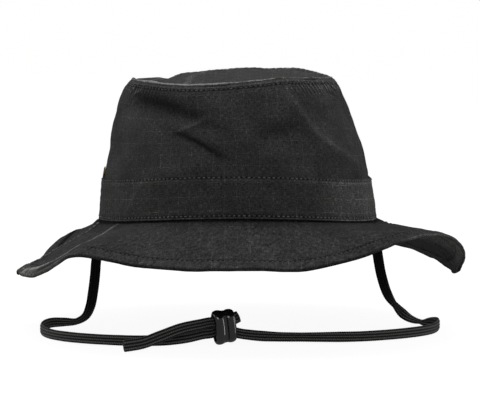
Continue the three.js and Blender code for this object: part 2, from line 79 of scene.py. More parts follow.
# Each row of a route is a place on the braid's middle line and the way in which its width lies there.
LEFT_ROUTE = [
    (-84.4, 0, -3.4, 1, 0, 0),
    (-85.8, 0.2, -14, 1, 0, 0),
    (-87.9, 0.6, -25, 1, 0, 0),
    (-88.9, 1.0, -36, 1, 0, 0),
    (-90.2, 1.6, -46, 1, 0.1, 0),
    (-91.8, 2.2, -54.4, 1, 0.3, -0.3),
    (-94.8, 2.8, -60.8, 0.6, 0.6, -0.6),
    (-100.4, 3.6, -64.2, 0.2, 0.8, -0.7),
    (-108, 3.2, -64.6, 0, 0.4, -0.9),
    (-114.6, 0, -64.5, 0, 0.1, -1),
    (-118.4, -8, -64.5, 0, 0, -1),
    (-120.1, -20, -64.5, 0, 0, -1),
    (-119.8, -37, -64.5, 0, 0, -1),
    (-116.2, -53, -64.5, 0, 0, -1),
    (-109.5, -67, -64.5, 0, 0, -1),
    (-99.5, -78, -64.5, 0, 0, -1),
    (-87, -86.5, -64.5, 0, 0, -1),
    (-73, -92.6, -64.5, 0, 0, -1),
    (-58, -95.8, -64.5, 0, 0, -1),
    (-43, -96, -64, 0, 0, -1),
    (-30, -94.2, -62.5, 0, 0, -1),
    (-21, -91.9, -60.7, 0, 0, -1),
    (-14.8, -90.1, -59.9, 0, 0, -1),
    (-8.6, -87.8, -56.4, 0, 0, -1),
    (-2.4, -85.5, -52.6, 0, 0, -1),
    (0.8, -84.4, -51, 0, 0, -1),
]
RIGHT_ROUTE = [
    (84.4, 0, -3.0, 1, 0, 0),
    (85.6, 0.4, -14, 1, 0, 0),
    (87.0, 1.2, -24, 1, 0, 0),
    (89.2, 2.4, -35.5, 1, 0, 0),
    (93.0, 4.4, -47, 0.9, 0.35, 0.2),
    (97.6, 6.6, -54, 0.45, 0.85, 0.3),
    (102.8, 8.8, -59.8, 0.6, 0.3, 0.85),
    (108.4, 10.2, -63.6, 0.1, 0.75, 0.65),
    (114.2, 9.4, -65.2, 0, 1, 0.25),
    (119.8, 4.8, -64.6, 0.4, 0.3, 0.9),
    (123.2, -3.5, -64.0, 0.1, 0, 1),
    (123.6, -16, -64.1, 0, 0, 1),
    (120, -31, -64.5, 0, 0, 1),
    (113, -44, -64.5, 0, 0, 1),
    (102, -56, -64.5, 0, 0, 1),
    (88.8, -66, -64.5, 0, 0, 1),
    (73, -74, -64.5, 0, 0.2, 1),
    (55, -78.6, -64.3, 0, 0.45, 1),
    (38, -80.8, -64.1, 0, 0.65, 0.9),
    (22, -83, -63.6, 0, 0.55, 1),
    (9, -85.8, -62.4, 0, 0.1, 1),
    (-1.6, -88.1, -60.4, 0, 0, 1),
    (-7.8, -90.2, -57.0, 0, 0, 1),
    (-14, -92.6, -54.0, 0, 0, 1),
    (-23, -96.6, -54.9, 0, 0, 1),
    (-34, -102, -56.8, 0, 0, 1),
    (-45, -107.8, -60.3, 0, 0, 1),
    (-56, -114, -63.7, 0, 0, 1),
    (-67, -120.4, -64.8, 0, 0, 1),
]


def colour(hex_code):
    """An sRGB colour as the linear values that a shader takes."""
    parts = [int(hex_code[place : place + 2], 16) / 255 for place in (1, 3, 5)]
    straight = [part / 12.92 if part <= 0.04045 else ((part + 0.055) / 1.055) ** 2.4 for part in parts]
    return (*straight, 1.0)


def add_node(tree, kind, links=None, **settings):
    """Adds a node with its settings, and links or sets its inputs."""
    node = tree.nodes.new(kind)
    for name, value in settings.items():
        setattr(node, name, value)
    for socket, value in (links or {}).items():
        if isinstance(value, bpy.types.NodeSocket):
            tree.links.new(value, node.inputs[socket])
        else:
            node.inputs[socket].default_value = value
    return node


def new_material(name):
    material = bpy.data.materials.new(name)
    material.use_nodes = True
    material.node_tree.nodes.clear()
    return material


def along_route(route, spacing):
    """Evenly spaced places on a smooth curve through a route, with the width, the way ahead and the run."""
    rows = np.array(route, float)
    first = 2 * rows[0, :3] - rows[1, :3]
    last = 2 * rows[-1, :3] - rows[-2, :3]
    knots = np.vstack([first, rows[:, :3], last])
    middles = []
    widths = []
    for index in range(len(rows) - 1):
        p0, p1, p2, p3 = knots[index : index + 4]
        d0 = np.linalg.norm(p1 - p0) ** 0.5
        d1 = np.linalg.norm(p2 - p1) ** 0.5
        d2 = np.linalg.norm(p3 - p2) ** 0.5
        leave = ((p1 - p0) / d0 - (p2 - p0) / (d0 + d1) + (p2 - p1) / d1) * d1
        meet = ((p2 - p1) / d1 - (p3 - p1) / (d1 + d2) + (p3 - p2) / d2) * d1
        t = np.linspace(0, 1, 50, endpoint=index == len(rows) - 2)[:, None]
        bend = t**2 * (3 * (p2 - p1) - 2 * leave - meet)
        middles.append(p1 + t * leave + bend + t**3 * (2 * (p1 - p2) + leave + meet))
        widths.append(rows[index, 3:] * (1 - t) + rows[index + 1, 3:] * t)
    middle = np.vstack(middles)
    width = np.vstack(widths)
    way = np.concatenate([[0], np.cumsum(np.linalg.norm(np.diff(middle, axis=0), axis=1))])
    stops = np.linspace(0, way[-1], int(way[-1] / spacing) + 1)
    middle = np.stack([np.interp(stops, way, middle[:, axis]) for axis in range(3)], 1)
    width = np.stack([np.interp(stops, way, width[:, axis]) for axis in range(3)], 1)
    ahead = np.gradient(middle, axis=0)
    ahead /= np.linalg.norm(ahead, axis=1, keepdims=True)
    width -= ahead * (width * ahead).sum(1, keepdims=True)
    width /= np.linalg.norm(width, axis=1, keepdims=True)
    return middle, width, ahead, stops


def skin(name, rings, cloth_map, wear_and_painted_light, looped, material):
    """A closed skin over rings of points, in mm. Its rings meet end to end, or close at two poles."""
    rows, columns = rings.shape[:2]
    points = rings.reshape(-1, 3) * MM
    steps = rows if looped else rows - 1
    row = np.repeat(np.arange(steps), columns)
    column = np.tile(np.arange(columns), steps)
    after = (column + 1) % columns
    above = (row + 1) % rows
    quads = np.stack([row * columns + column, row * columns + after], 1)
    quads = np.hstack([quads, np.stack([above * columns + after, above * columns + column], 1)])
    corner = np.stack([cloth_map[row, column], cloth_map[row, column + 1]], 1)
    other = np.stack([cloth_map[row + 1, column + 1], cloth_map[row + 1, column]], 1)
    corners = [np.concatenate([corner, other], 1).reshape(-1, 2)]
    faces = quads.tolist()
    worn_and_lit = wear_and_painted_light.reshape(-1)
    if not looped:
        count = len(points)
        points = np.vstack([points, rings[0].mean(0) * MM, rings[-1].mean(0) * MM])
        worn_and_lit = np.concatenate([worn_and_lit, [wear_and_painted_light[0].mean(), wear_and_painted_light[-1].mean()]])
        for pole, line, turn in ((count, 0, 1), (count + 1, rows - 1, -1)):
            centre = cloth_map[line].mean(0)
            for step in range(columns):
                pair = (step, step + 1)[::turn]
                first, second = (line * columns + place % columns for place in pair)
                faces.append([pole, second, first])
                corners.append(np.array([centre, cloth_map[line, pair[1]], cloth_map[line, pair[0]]]))
    mesh = bpy.data.meshes.new(name)
    mesh.from_pydata(points.tolist(), [], faces)
    layer = mesh.uv_layers.new(name="cloth")
    layer.data.foreach_set("uv", np.vstack(corners).astype(np.float32).ravel())
    # The wear attribute holds real wear together with painted light: painted highlight on lit crests,
    # ridges and rolls, painted shade in grooves, gaps and creases.
    mark = mesh.attributes.new("wear_and_painted_light", "FLOAT", "POINT")
    mark.data.foreach_set("value", worn_and_lit.astype(np.float32))
    mesh.polygons.foreach_set("use_smooth", [True] * len(mesh.polygons))
    mesh.materials.append(material)
    mesh.update()
    piece = bpy.data.objects.new(name, mesh)
    bpy.context.scene.collection.objects.link(piece)
    return piece


def braided_strap(name, route, material, seed):
    """A flat braid along a route: rounded ribs side by side, each a row of slanting plaits."""
    middle, width, ahead, way = along_route(route, STRAP_STEP)
    face = np.cross(ahead, width)
    turns = np.linspace(0, 2 * math.pi, STRAP_SIDES + 1)
    cosine, sine = np.cos(turns[:-1]), np.sin(turns[:-1])
    wide = np.sign(cosine) * np.abs(cosine) ** STRAP_ROUNDNESS * STRAP_WIDTH / 2
    thick = np.sign(sine) * np.abs(sine) ** STRAP_ROUNDNESS * STRAP_THICK / 2
    side = np.hypot(np.diff(np.append(wide, wide[0])), np.diff(np.append(thick, thick[0])))
    girth = np.concatenate([[0], np.cumsum(side)])
    rib = girth[:-1] * BRAID_RIBS / girth[-1] + 0.5
    slant = np.where(np.floor(rib) % 2 == 0, 1, -1)
    across_rib = rib - np.floor(rib)
    phase = way[:, None] / BRAID_PITCH + (slant * (across_rib - 0.5) * 0.9 + 0.25 * slant)[None]
    lobe = 0.5 + 0.5 * np.cos(2 * math.pi * phase)
    crown = np.sin(math.pi * np.clip(across_rib, 0.03, 0.97)) ** 0.7
    # Rib crowns and plaits are painted paler, a painted highlight, and the grooves between them darker, a
    # painted shade.
    high = crown[None] * (0.68 + 0.32 * lobe)
    shape = np.random.RandomState(seed)
    slack = np.interp(way, np.linspace(0, way[-1], 30), shape.uniform(-1, 1, 30))
    scale = SLACK_WIDTH + 0.025 * slack[:, None]
    scale = scale + END_WIDENING * np.exp(-(((way[-1] - way) / END_REACH) ** 4))[:, None]
    end = np.minimum(way, way[-1] - way)[:, None]
    scale = scale * np.sqrt(np.clip(1 - (1 - np.clip(end / 0.7, 0, 1)) ** 2, 0.12, 1))
    inset = RIB_DEPTH * (1 - high)
    out = np.stack([wide * STRAP_THICK, thick * STRAP_WIDTH], 1)
    out /= np.linalg.norm(out, axis=1, keepdims=True)
    reach_wide = (wide[None] - inset * out[:, 0]) * scale
    reach_thick = (thick[None] - inset * out[:, 1]) * scale
    rings = middle[:, None] + width[:, None] * reach_wide[..., None]
    rings = rings + face[:, None] * reach_thick[..., None]
    cloth_map = np.stack(np.broadcast_arrays(girth[None], way[:, None]), -1)
    # Painted shade on the braid under the brim and painted light where it turns forward.
    rubbed_and_lit = high * np.interp(way, BRAID_LIGHT_AT, BRAID_LIGHT_BY)[:, None]
    strap = skin(name, rings, cloth_map, rubbed_and_lit, False, material)
    path = middle[:: int(2 / STRAP_STEP)]
    path = np.vstack([path, middle[-1]]) * MM
    return strap, path.tolist(), way[-1] * MM


# Spun polyester yarn, plaited: a soft dull black. Its raised lobes are painted paler, a painted highlight,
# and the grooves between its ribs darker, a painted shade. The fuzz of its fibres is drawn 0.2 mm across
# and 0.5 mm long, coarser than it is, so that it shows.
braid = new_material("polyester_braid")
tree = braid.node_tree
place = add_node(tree, "ShaderNodeTexCoord")
high = add_node(tree, "ShaderNodeAttribute", attribute_name="wear_and_painted_light")
fibres = add_node(tree, "ShaderNodeMapping", {"Vector": place.outputs["UV"], "Scale": (1.0, 0.35, 1.0)})
yarn = add_node(tree, "ShaderNodeTexNoise", {"Vector": fibres.outputs[0], "Scale": 5.5, "Detail": 3.0})
fuzz = add_node(
    tree,
    "ShaderNodeMapRange",
    {"Value": yarn.outputs["Fac"], "From Min": 0.3, "From Max": 0.7, "To Min": 0.55},
)
lit = add_node(
    tree, "ShaderNodeMath", {0: high.outputs["Fac"], 1: fuzz.outputs[0]}, operation="MULTIPLY"
)
ramp = add_node(tree, "ShaderNodeValToRGB", {"Fac": lit.outputs[0]})
ramp.color_ramp.elements[0].position = 0.15
ramp.color_ramp.elements[0].color = colour("#060606")
ramp.color_ramp.elements[1].position = 0.85
ramp.color_ramp.elements[1].color = colour("#8c8c8a")
ramp.color_ramp.elements.new(0.45).color = colour("#1c1c1b")
bump = add_node(
    tree, "ShaderNodeBump", {"Height": yarn.outputs["Fac"], "Strength": 0.5, "Distance": 0.00025}
)
shader = add_node(
    tree,
    "ShaderNodeBsdfPrincipled",
    {
        "Base Color": ramp.outputs["Color"],
        "Normal": bump.outputs[0],
        "Roughness": 0.62,
        "Specular IOR Level": 0.15,
        "Sheen Weight": 0.12,
        "Sheen Roughness": 0.5,
    },
)
add_node(tree, "ShaderNodeOutputMaterial", {"Surface": shader.outputs[0]})

strap_left, left_path, left_length = braided_strap("strap_left_braid", LEFT_ROUTE, braid, 3)
strap_right, right_path, right_length = braided_strap("strap_right_braid", RIGHT_ROUTE, braid, 8)
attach(strap_left, "root")
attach(strap_right, "root")
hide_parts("strap_left")
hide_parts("strap_right")

# Slider: a small spool of black nylon, moulded in one piece, slightly squared, with two flanges, a
# groove between them and one window that grips both straps. Its mould leaves it smooth and glossy.
SLIDER_AT = (-8.2, -89, -56.8)
SLIDER_YAW = 20
SLIDER_LEAN = -7
SLIDER_SIDES = 72
SLIDER_SQUARENESS = 0.84
WINDOW_WIDE = 16.4
WINDOW_DEEP = 5.5
WINDOW_THROUGH = 20
WINDOW_CORNER = 1.6
# Each ring is a level along the spool and its half width and half depth there.
SLIDER_RINGS = [
    (-6.6, 8.3, 3.3),
    (-6.4, 9.1, 4.1),
    (-5.8, 9.9, 4.9),
    (-4.8, 10.3, 5.35),
    (-3.4, 10.4, 5.4),
    (-2.2, 10.2, 5.2),
    (-1.4, 9.9, 4.9),
    (-1.0, 9.8, 3.6),
    (1.0, 9.6, 3.6),
    (1.4, 9.7, 4.8),
    (2.2, 10.0, 5.1),
    (3.4, 10.1, 5.2),
    (4.7, 9.9, 5.0),
    (5.6, 9.5, 4.7),
    (6.3, 8.9, 4.1),
    (6.6, 8.2, 3.3),
]


def only(piece):
    """Selects one piece alone and makes it the active one."""
    bpy.ops.object.select_all(action="DESELECT")
    piece.select_set(True)
    bpy.context.view_layer.objects.active = piece


def drawn_rings(name, rings, sides, closed_ends, squareness=1.0):
    """A shell extruded ring by ring, each scaled to its size. A squareness below 1 fills its corners."""
    bpy.ops.object.select_all(action="DESELECT")
    bpy.ops.mesh.primitive_circle_add(vertices=sides, radius=1, fill_type="NOTHING")
    piece = bpy.context.object
    piece.name = name
    piece.data.name = name
    for vertex in piece.data.vertices:
        vertex.co.x = math.copysign(abs(vertex.co.x) ** squareness, vertex.co.x)
        vertex.co.y = math.copysign(abs(vertex.co.y) ** squareness, vertex.co.y)
    bpy.ops.object.mode_set(mode="EDIT")
    bpy.ops.mesh.select_all(action="SELECT")
    level, wide, deep = (value * MM for value in rings[0])
    bpy.ops.transform.resize(value=(wide, deep, 1), center_override=(0, 0, 0))
    bpy.ops.transform.translate(value=(0, 0, level))
    if closed_ends:
        bpy.ops.mesh.edge_face_add()
    for ring in rings[1:]:
        next_level, next_wide, next_deep = (value * MM for value in ring)
        move = {"value": (0, 0, next_level - level)}
        bpy.ops.mesh.extrude_region_move(TRANSFORM_OT_translate=move)
        grow = (next_wide / wide, next_deep / deep, 1)
        bpy.ops.transform.resize(value=grow, center_override=(0, 0, next_level))
        level, wide, deep = next_level, next_wide, next_deep
    bpy.ops.mesh.select_all(action="SELECT")
    bpy.ops.mesh.remove_doubles(threshold=1e-6)
    bpy.ops.mesh.normals_make_consistent(inside=False)
    bpy.ops.object.mode_set(mode="OBJECT")
    return piece


slider = drawn_rings("strap_slider_moulded", SLIDER_RINGS, SLIDER_SIDES, True, SLIDER_SQUARENESS)
bpy.ops.object.select_all(action="DESELECT")
bpy.ops.mesh.primitive_cube_add(size=1)
window = bpy.context.object
bpy.ops.object.mode_set(mode="EDIT")
bpy.ops.mesh.select_all(action="SELECT")
window_size = (WINDOW_WIDE * MM, WINDOW_DEEP * MM, WINDOW_THROUGH * MM)
bpy.ops.transform.resize(value=window_size, center_override=(0, 0, 0))
bpy.ops.mesh.select_all(action="DESELECT")
bpy.ops.object.mode_set(mode="OBJECT")
for edge in window.data.edges:
    ends = [window.data.vertices[index].co for index in edge.vertices]
    edge.select = abs(ends[0].z - ends[1].z) > 0.01
bpy.ops.object.mode_set(mode="EDIT")
bpy.ops.mesh.bevel(offset=WINDOW_CORNER * MM, segments=6, affect="EDGES")
bpy.ops.object.mode_set(mode="OBJECT")
cut = slider.modifiers.new("window", "BOOLEAN")
cut.operation = "DIFFERENCE"
cut.object = window
cut.solver = "EXACT"
only(slider)
bpy.ops.object.modifier_apply(modifier="window")
bpy.data.objects.remove(window)
soften = slider.modifiers.new("edges", "BEVEL")
soften.width = 0.4 * MM
soften.segments = 3
soften.limit_method = "ANGLE"
soften.angle_limit = math.radians(50)
bpy.ops.object.modifier_apply(modifier="edges")
bpy.ops.object.shade_smooth_by_angle(angle=math.radians(40))
turned = Matrix(((0, 0, 1, 0), (0, -1, 0, 0), (1, 0, 0, 0), (0, 0, 0, 1)))
slider_turn = Matrix.Rotation(math.radians(SLIDER_YAW), 4, "Z")
slider_turn = slider_turn @ Matrix.Rotation(math.radians(SLIDER_LEAN), 4, "Y")
slider.data.transform(Matrix.Translation(Vector(SLIDER_AT) * MM) @ slider_turn @ turned)

# Nylon straight from a polished mould: near black, with a sharp gloss that fine scuffs, 2 mm apart,
# break here and there
nylon = new_material("moulded_nylon")
tree = nylon.node_tree
place = add_node(tree, "ShaderNodeTexCoord")
scuff = add_node(
    tree, "ShaderNodeTexNoise", {"Vector": place.outputs["Object"], "Scale": 420.0, "Detail": 4.0}
)
dull = add_node(
    tree,
    "ShaderNodeMapRange",
    {"Value": scuff.outputs["Fac"], "From Min": 0.4, "From Max": 0.75, "To Min": 0.08, "To Max": 0.24},
)
tone = add_node(tree, "ShaderNodeValToRGB", {"Fac": scuff.outputs["Fac"]})
tone.color_ramp.elements[0].color = colour("#090909")
tone.color_ramp.elements[1].color = colour("#1c1c1d")
bump = add_node(
    tree, "ShaderNodeBump", {"Height": scuff.outputs["Fac"], "Strength": 0.12, "Distance": 0.0002}
)
shader = add_node(
    tree,
    "ShaderNodeBsdfPrincipled",
    {
        "Base Color": tone.outputs["Color"],
        "Roughness": dull.outputs[0],
        "Normal": bump.outputs[0],
        "IOR": 1.53,
        "Specular IOR Level": 1.0,
        "Coat Weight": 0.8,
        "Coat Roughness": 0.08,
    },
)
add_node(tree, "ShaderNodeOutputMaterial", {"Surface": shader.outputs[0]})
slider.data.materials.append(nylon)
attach(slider, "root")
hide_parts("strap_slider")

# Crown wall: one strip of ripstop cotton, sewn to the tip above and to the brim below. Nothing stiffens
# it, so it stands in soft dents, and the seams gather it into fine puckers.
AROUND = 768
WALL_CLOTH = 1.5
CROWN_HEIGHT = 88
BAND_HEIGHT = 24.5
SADDLE = 7.4
BASE_WIDE = 84.6
BASE_LONG = 100.2
OVAL_RATIO = 0.845
WALL_DEGREE = math.radians(88)
STITCH_PITCH = 3.0
TIP_SEAM_ROW = 85.0
# Each row is a height and the wall's half width, half length and shift to the right there.
CROWN_ROWS = [
    (0, BASE_WIDE, BASE_LONG, -0.2),
    (13, 83.2, 98.6, -0.5),
    (26, 81.8, 97.0, -0.9),
    (36, 79.9, 95.4, -1.0),
    (45, 78.2, 93.6, -1.0),
    (54, 76.1, 91.6, -1.9),
    (63, 73.6, 89.2, -3.1),
    (71, 70.9, 86.4, -3.4),
    (78, 68.4, 83.4, -3.6),
    (83, 66.2, 80.6, -3.6),
    (88, 62.0, 76.4, -3.6),
]
# Each fold runs through places on the wall, as azimuth and height, with the reach of its upper and its
# lower side and its depth. A negative depth stands out.
CROWN_FOLDS = [
    ([(200, 71), (212, 73.5), (226, 72.5), (238, 69), (249, 65), (256, 62)], 8.5, 15, 5.2),
    ([(258, 66), (252, 62.5), (246, 59), (238, 55)], 2.6, 3.4, -1.6),
    ([(242, 55.5), (250, 49.5), (256, 44.5), (261, 39.5), (267, 34)], 3.6, 9.0, 3.4),
    ([(281, 50), (289, 53.5), (297, 55), (305, 51.5)], 6.5, 11, 2.2),
    ([(299, 78), (301.5, 73), (305.5, 64.5), (309, 54.5)], 3.4, 5.0, -1.9),
    ([(309, 54.5), (313, 49), (320, 43.5), (338, 35.5)], 4.0, 7.0, -2.0),
    ([(312, 70), (322, 60), (336, 52)], 6.0, 9.0, 1.4),
    ([(196, 52), (207, 36)], 8.0, 8.0, 1.6),
    ([(340, 70), (352, 56)], 8.0, 8.0, 1.4),
    ([(20, 72), (30, 65), (42, 55)], 6.0, 11, 2.8),
    ([(52, 62), (64, 65), (78, 74)], 4.5, 11, 2.2),
    ([(70, 44), (84, 45), (96, 50)], 5.0, 9.0, 2.4),
    ([(112, 74), (124, 68), (138, 58)], 6.0, 12, 3.4),
    ([(128, 46), (120, 43), (112, 38)], 3.0, 5.0, -1.8),
    ([(150, 60), (160, 51), (170, 46)], 6.0, 9.0, 2.0),
]
# Each row is an azimuth and how far the tip's seam is lifted there, or pulled down.
SEAM_ROWS = [
    (0, -0.5),
    (20, 0),
    (34, 2.3),
    (58, 3),
    (88, 2.3),
    (106, 0.8),
    (122, -0.6),
    (138, -5.4),
    (149, -4.8),
    (160, -3.0),
    (180, -0.8),
    (210, -1.6),
    (240, -2.6),
    (262, -1.8),
    (286, 0.6),
    (302, 1.8),
    (330, 0.6),
]
# Each row is an azimuth and how strongly the tip's seam gathers the wall there.
GATHER_ROWS = [
    (20, 0.5),
    (45, 0.8),
    (90, 0.2),
    (135, 0.8),
    (180, 0.6),
    (203, 1.0),
    (220, 0.55),
    (238, 0.08),
    (292, 0.08),
    (308, 0.7),
    (332, 1.0),
    (352, 0.7),
]


def between(rows, column, at, turn=0.0):
    """A table's column between its rows, on a smooth curve that may meet itself after a turn."""
    table = np.array(rows, float)
    keys = table[:, 0]
    values = table[:, column]
    at = np.asarray(at, float)
    if turn:
        keys = np.concatenate([keys - turn, keys, keys + turn])
        values = np.tile(values, 3)
        at = np.mod(at, turn)
    last = len(keys) - 1
    start = np.clip(np.searchsorted(keys, at, side="right") - 1, 0, last - 1)
    end = start + 1
    before = np.maximum(start - 1, 0)
    after = np.minimum(end + 1, last)
    span = keys[end] - keys[start]
    t = np.clip((at - keys[start]) / span, 0, 1)
    leave = (values[end] - values[before]) / (keys[end] - keys[before]) * span
    meet = (values[after] - values[start]) / (keys[after] - keys[start]) * span
    rise = values[end] - values[start]
    bend = 3 * rise - 2 * leave - meet + t * (leave + meet - 2 * rise)
    return values[start] + t * (leave + t * bend)


def ease(value, low, high):
    """Rises smoothly from 0 to 1 between two values."""
    t = np.clip((value - low) / (high - low), 0, 1)
    return t * t * (3 - 2 * t)


def stretch(value, start, full, fade, stop):
    """1 between two inner values, fading to 0 at the outer ones."""
    return ease(value, start, full) * (1 - ease(value, fade, stop))


def bell(value, width):
    """1 at zero, fading smoothly to nothing about two widths to either side."""
    return np.exp(-((value / width) ** 2))


def stitch_wave(along):
    """Rises between two stitches and dips under each one."""
    return np.cos(2 * math.pi * along / STITCH_PITCH)


def flat_line(line, degree):
    """A line of azimuths and heights on the flat cloth, where a degree is so many millimetres."""
    return [(azimuth * degree, height) for azimuth, height in line]


def lift(azimuth, height):
    """How far the wall is raised: its base rises in front and behind, and the tip's seam wanders."""
    way = ease(height, BAND_HEIGHT, CROWN_HEIGHT)
    rise = between(SEAM_ROWS, 1, azimuth, 360.0)
    return SADDLE * np.sin(np.radians(azimuth)) ** 2 * (1 - way) + rise * way


def outward(azimuth):
    """The level direction out of the base oval."""
    turn = np.radians(azimuth)
    way = np.stack([np.cos(turn) / BASE_WIDE, np.sin(turn) / BASE_LONG], -1)
    return way / np.linalg.norm(way, axis=-1, keepdims=True)


def fold_depth(across, up, line, above, below, depth):
    """A soft crease along a line of flat points, with its own reach on either side and a tapered end."""
    nearest = np.full(across.shape, 1e9)
    upper = np.ones(across.shape)
    part = np.zeros(across.shape)
    count = len(line) - 1
    for index in range(count):
        (x0, y0), (x1, y1) = line[index], line[index + 1]
        dx, dy = x1 - x0, y1 - y0
        t = np.clip(((across - x0) * dx + (up - y0) * dy) / (dx * dx + dy * dy), 0, 1)
        away = np.hypot(across - x0 - t * dx, up - y0 - t * dy)
        closer = away < nearest
        nearest = np.where(closer, away, nearest)
        side = ((up - y0) * dx - (across - x0) * dy) / math.hypot(dx, dy) * (1 if dx >= 0 else -1)
        upper = np.where(closer, 0.5 + 0.5 * np.tanh(side / 1.2), upper)
        part = np.where(closer, (index + t) / count, part)
    reach = below + (above - below) * upper
    taper = 0.55 + 0.45 * np.sin(math.pi * np.clip(part, 0, 1))
    return depth * taper * np.exp(-((nearest**2 / reach**2 + 0.01) ** 0.75) + 0.032)


def ripple(x, y, size, seed, waves=14):
    """Smooth unevenness about a given size across, between -1 and 1 or so."""
    shape = np.random.RandomState(seed)
    total = np.zeros(np.broadcast(x, y).shape)
    for _ in range(waves):
        turn = shape.uniform(0, 2 * math.pi)
        length = size * shape.uniform(0.7, 1.5)
        phase = shape.uniform(0, 2 * math.pi)
        total += np.sin(2 * math.pi * (x * math.cos(turn) + y * math.sin(turn)) / length + phase)
    return total / math.sqrt(waves)


def puckers(along, pitch, seed):
    """Gathers along a seam, uneven as cloth makes them, between -1 and 1."""
    wander = ripple(along, 0 * along, pitch * 6, seed, 6)
    wave = np.sin(2 * math.pi * along / pitch + 1.7 * wander)
    return 0.65 * wave + 0.35 * np.sin(2 * math.pi * along / (pitch * 0.57) + 2.3 * wander)


def wall_dent(azimuth, height):
    """How far the folds and the gathers' broad waves push the wall in."""
    dent = np.zeros(azimuth.shape)
    for line, above, below, depth in CROWN_FOLDS:
        middle = (line[0][0] + line[-1][0]) / 2
        near = middle + np.mod(azimuth - middle + 180, 360) - 180
        flat = flat_line(line, WALL_DEGREE)
        dent += fold_depth(near * WALL_DEGREE, height, flat, above, below, depth)
    seam = ease(CROWN_HEIGHT - height, 0, 4)
    fade = bell(CROWN_HEIGHT - height, 13)
    gather = between(GATHER_ROWS, 1, azimuth, 360.0)
    return dent * seam + 0.3 * seam * gather * fade * np.cos(np.radians(azimuth) * 24)


def on_wall(azimuth, height, inside=0.0):
    """A point of the dented wall, or of a surface that far inside it."""
    azimuth, height = np.broadcast_arrays(np.asarray(azimuth, float), np.asarray(height, float))
    wide, long, lean = (between(CROWN_ROWS, column, height) for column in (1, 2, 3))
    x = lean + wide * np.cos(np.radians(azimuth))
    y = long * np.sin(np.radians(azimuth))
    z = height + lift(azimuth, height)
    depth = inside + wall_dent(azimuth, height)
    way = outward(azimuth)
    return np.stack([x - way[..., 0] * depth, y - way[..., 1] * depth, z], -1)


def girth_at(azimuth, height):
    """Length of cloth round the crown from its front centre, with the panel's own seam at the back."""
    wide = between(CROWN_ROWS, 1, height)
    long = between(CROWN_ROWS, 2, height)
    turns = np.linspace(90, 450, 721)
    fine = np.radians(turns)
    speed = np.hypot(np.sin(fine) * OVAL_RATIO, np.cos(fine))
    run = np.concatenate([[0], np.cumsum((speed[1:] + speed[:-1]) / 2)]) * (fine[1] - fine[0])
    run -= run[360]
    return np.interp(azimuth, turns, run) * (wide + long) / (OVAL_RATIO + 1)


# The wall's rows of points go up its outside, over its turned edge in the tip's seam and down inside.
columns = 90 + 360 * np.arange(AROUND) / AROUND
columns_closed = np.append(columns, 450)
wall_low = np.array([-0.9, 6, 12, 18, 22, 23.6])
wall_main = np.linspace(24.4, 87.5, 77)
wall_heights = np.concatenate([wall_low, wall_main, [87.8, 87.95, 87.7]])
wall_inside = np.concatenate([np.zeros(len(wall_low) + len(wall_main)), [0.2, 0.6, 1.2]])
inner_heights = np.array([86.0, 80, 72, 64, 56, 48, 40, 32, 24, 16, 8, -0.9])
wall_heights = np.concatenate([wall_heights, inner_heights])
wall_inside = np.concatenate([wall_inside, np.full(len(inner_heights), WALL_CLOTH)])
azimuth_grid, height_grid = np.meshgrid(columns, wall_heights)
outside = np.repeat((wall_inside < 0.1)[:, None], AROUND, 1)


def corner_gathers(azimuth, across, top):
    """The longer gathers that fan down from the tip seam at the two front corners."""
    right = bell(np.mod(azimuth, 360) - 340, 14)
    left = bell(np.mod(azimuth, 360) - 205, 10)
    folds = puckers(across - 2.0 * top * (right - left), 6.2, 23)
    return (right + left) * folds * bell(top, 12) * ease(top, 0.5, 3)


def wall_relief(azimuth, height):
    """How far the fine forms of the cloth stand out from the wall."""
    across = girth_at(azimuth, height)
    top = CROWN_HEIGHT - height
    gather = between(GATHER_ROWS, 1, azimuth, 360.0)
    relief = 0.42 * ripple(across, height, 34, 11) + 0.13 * ripple(across, height, 12, 12)
    relief = relief + 0.035 * ripple(across, height * 0.7, 5, 13)
    fan = across + 0.8 * top * np.sin(np.radians(azimuth * 2))
    pull = 3.5 + 6 * gather * (0.6 + 0.4 * ripple(across, 0 * across, 13, 20))
    seam = puckers(fan, 3.3, 21)
    relief = relief + (0.05 + 0.5 * gather) * seam * bell(top, pull) * ease(top, 0, 2.2)
    relief = relief + 0.45 * corner_gathers(azimuth, across, top)
    relief = relief + 0.08 * puckers(across, 6.4, 22) * bell(height - BAND_HEIGHT, 5)
    groove = bell(height - TIP_SEAM_ROW, 0.55)
    relief = relief - groove * (0.3 + 0.06 * stitch_wave(across))
    relief = relief + 0.2 * bell(top - 1.4, 1.0)
    return relief


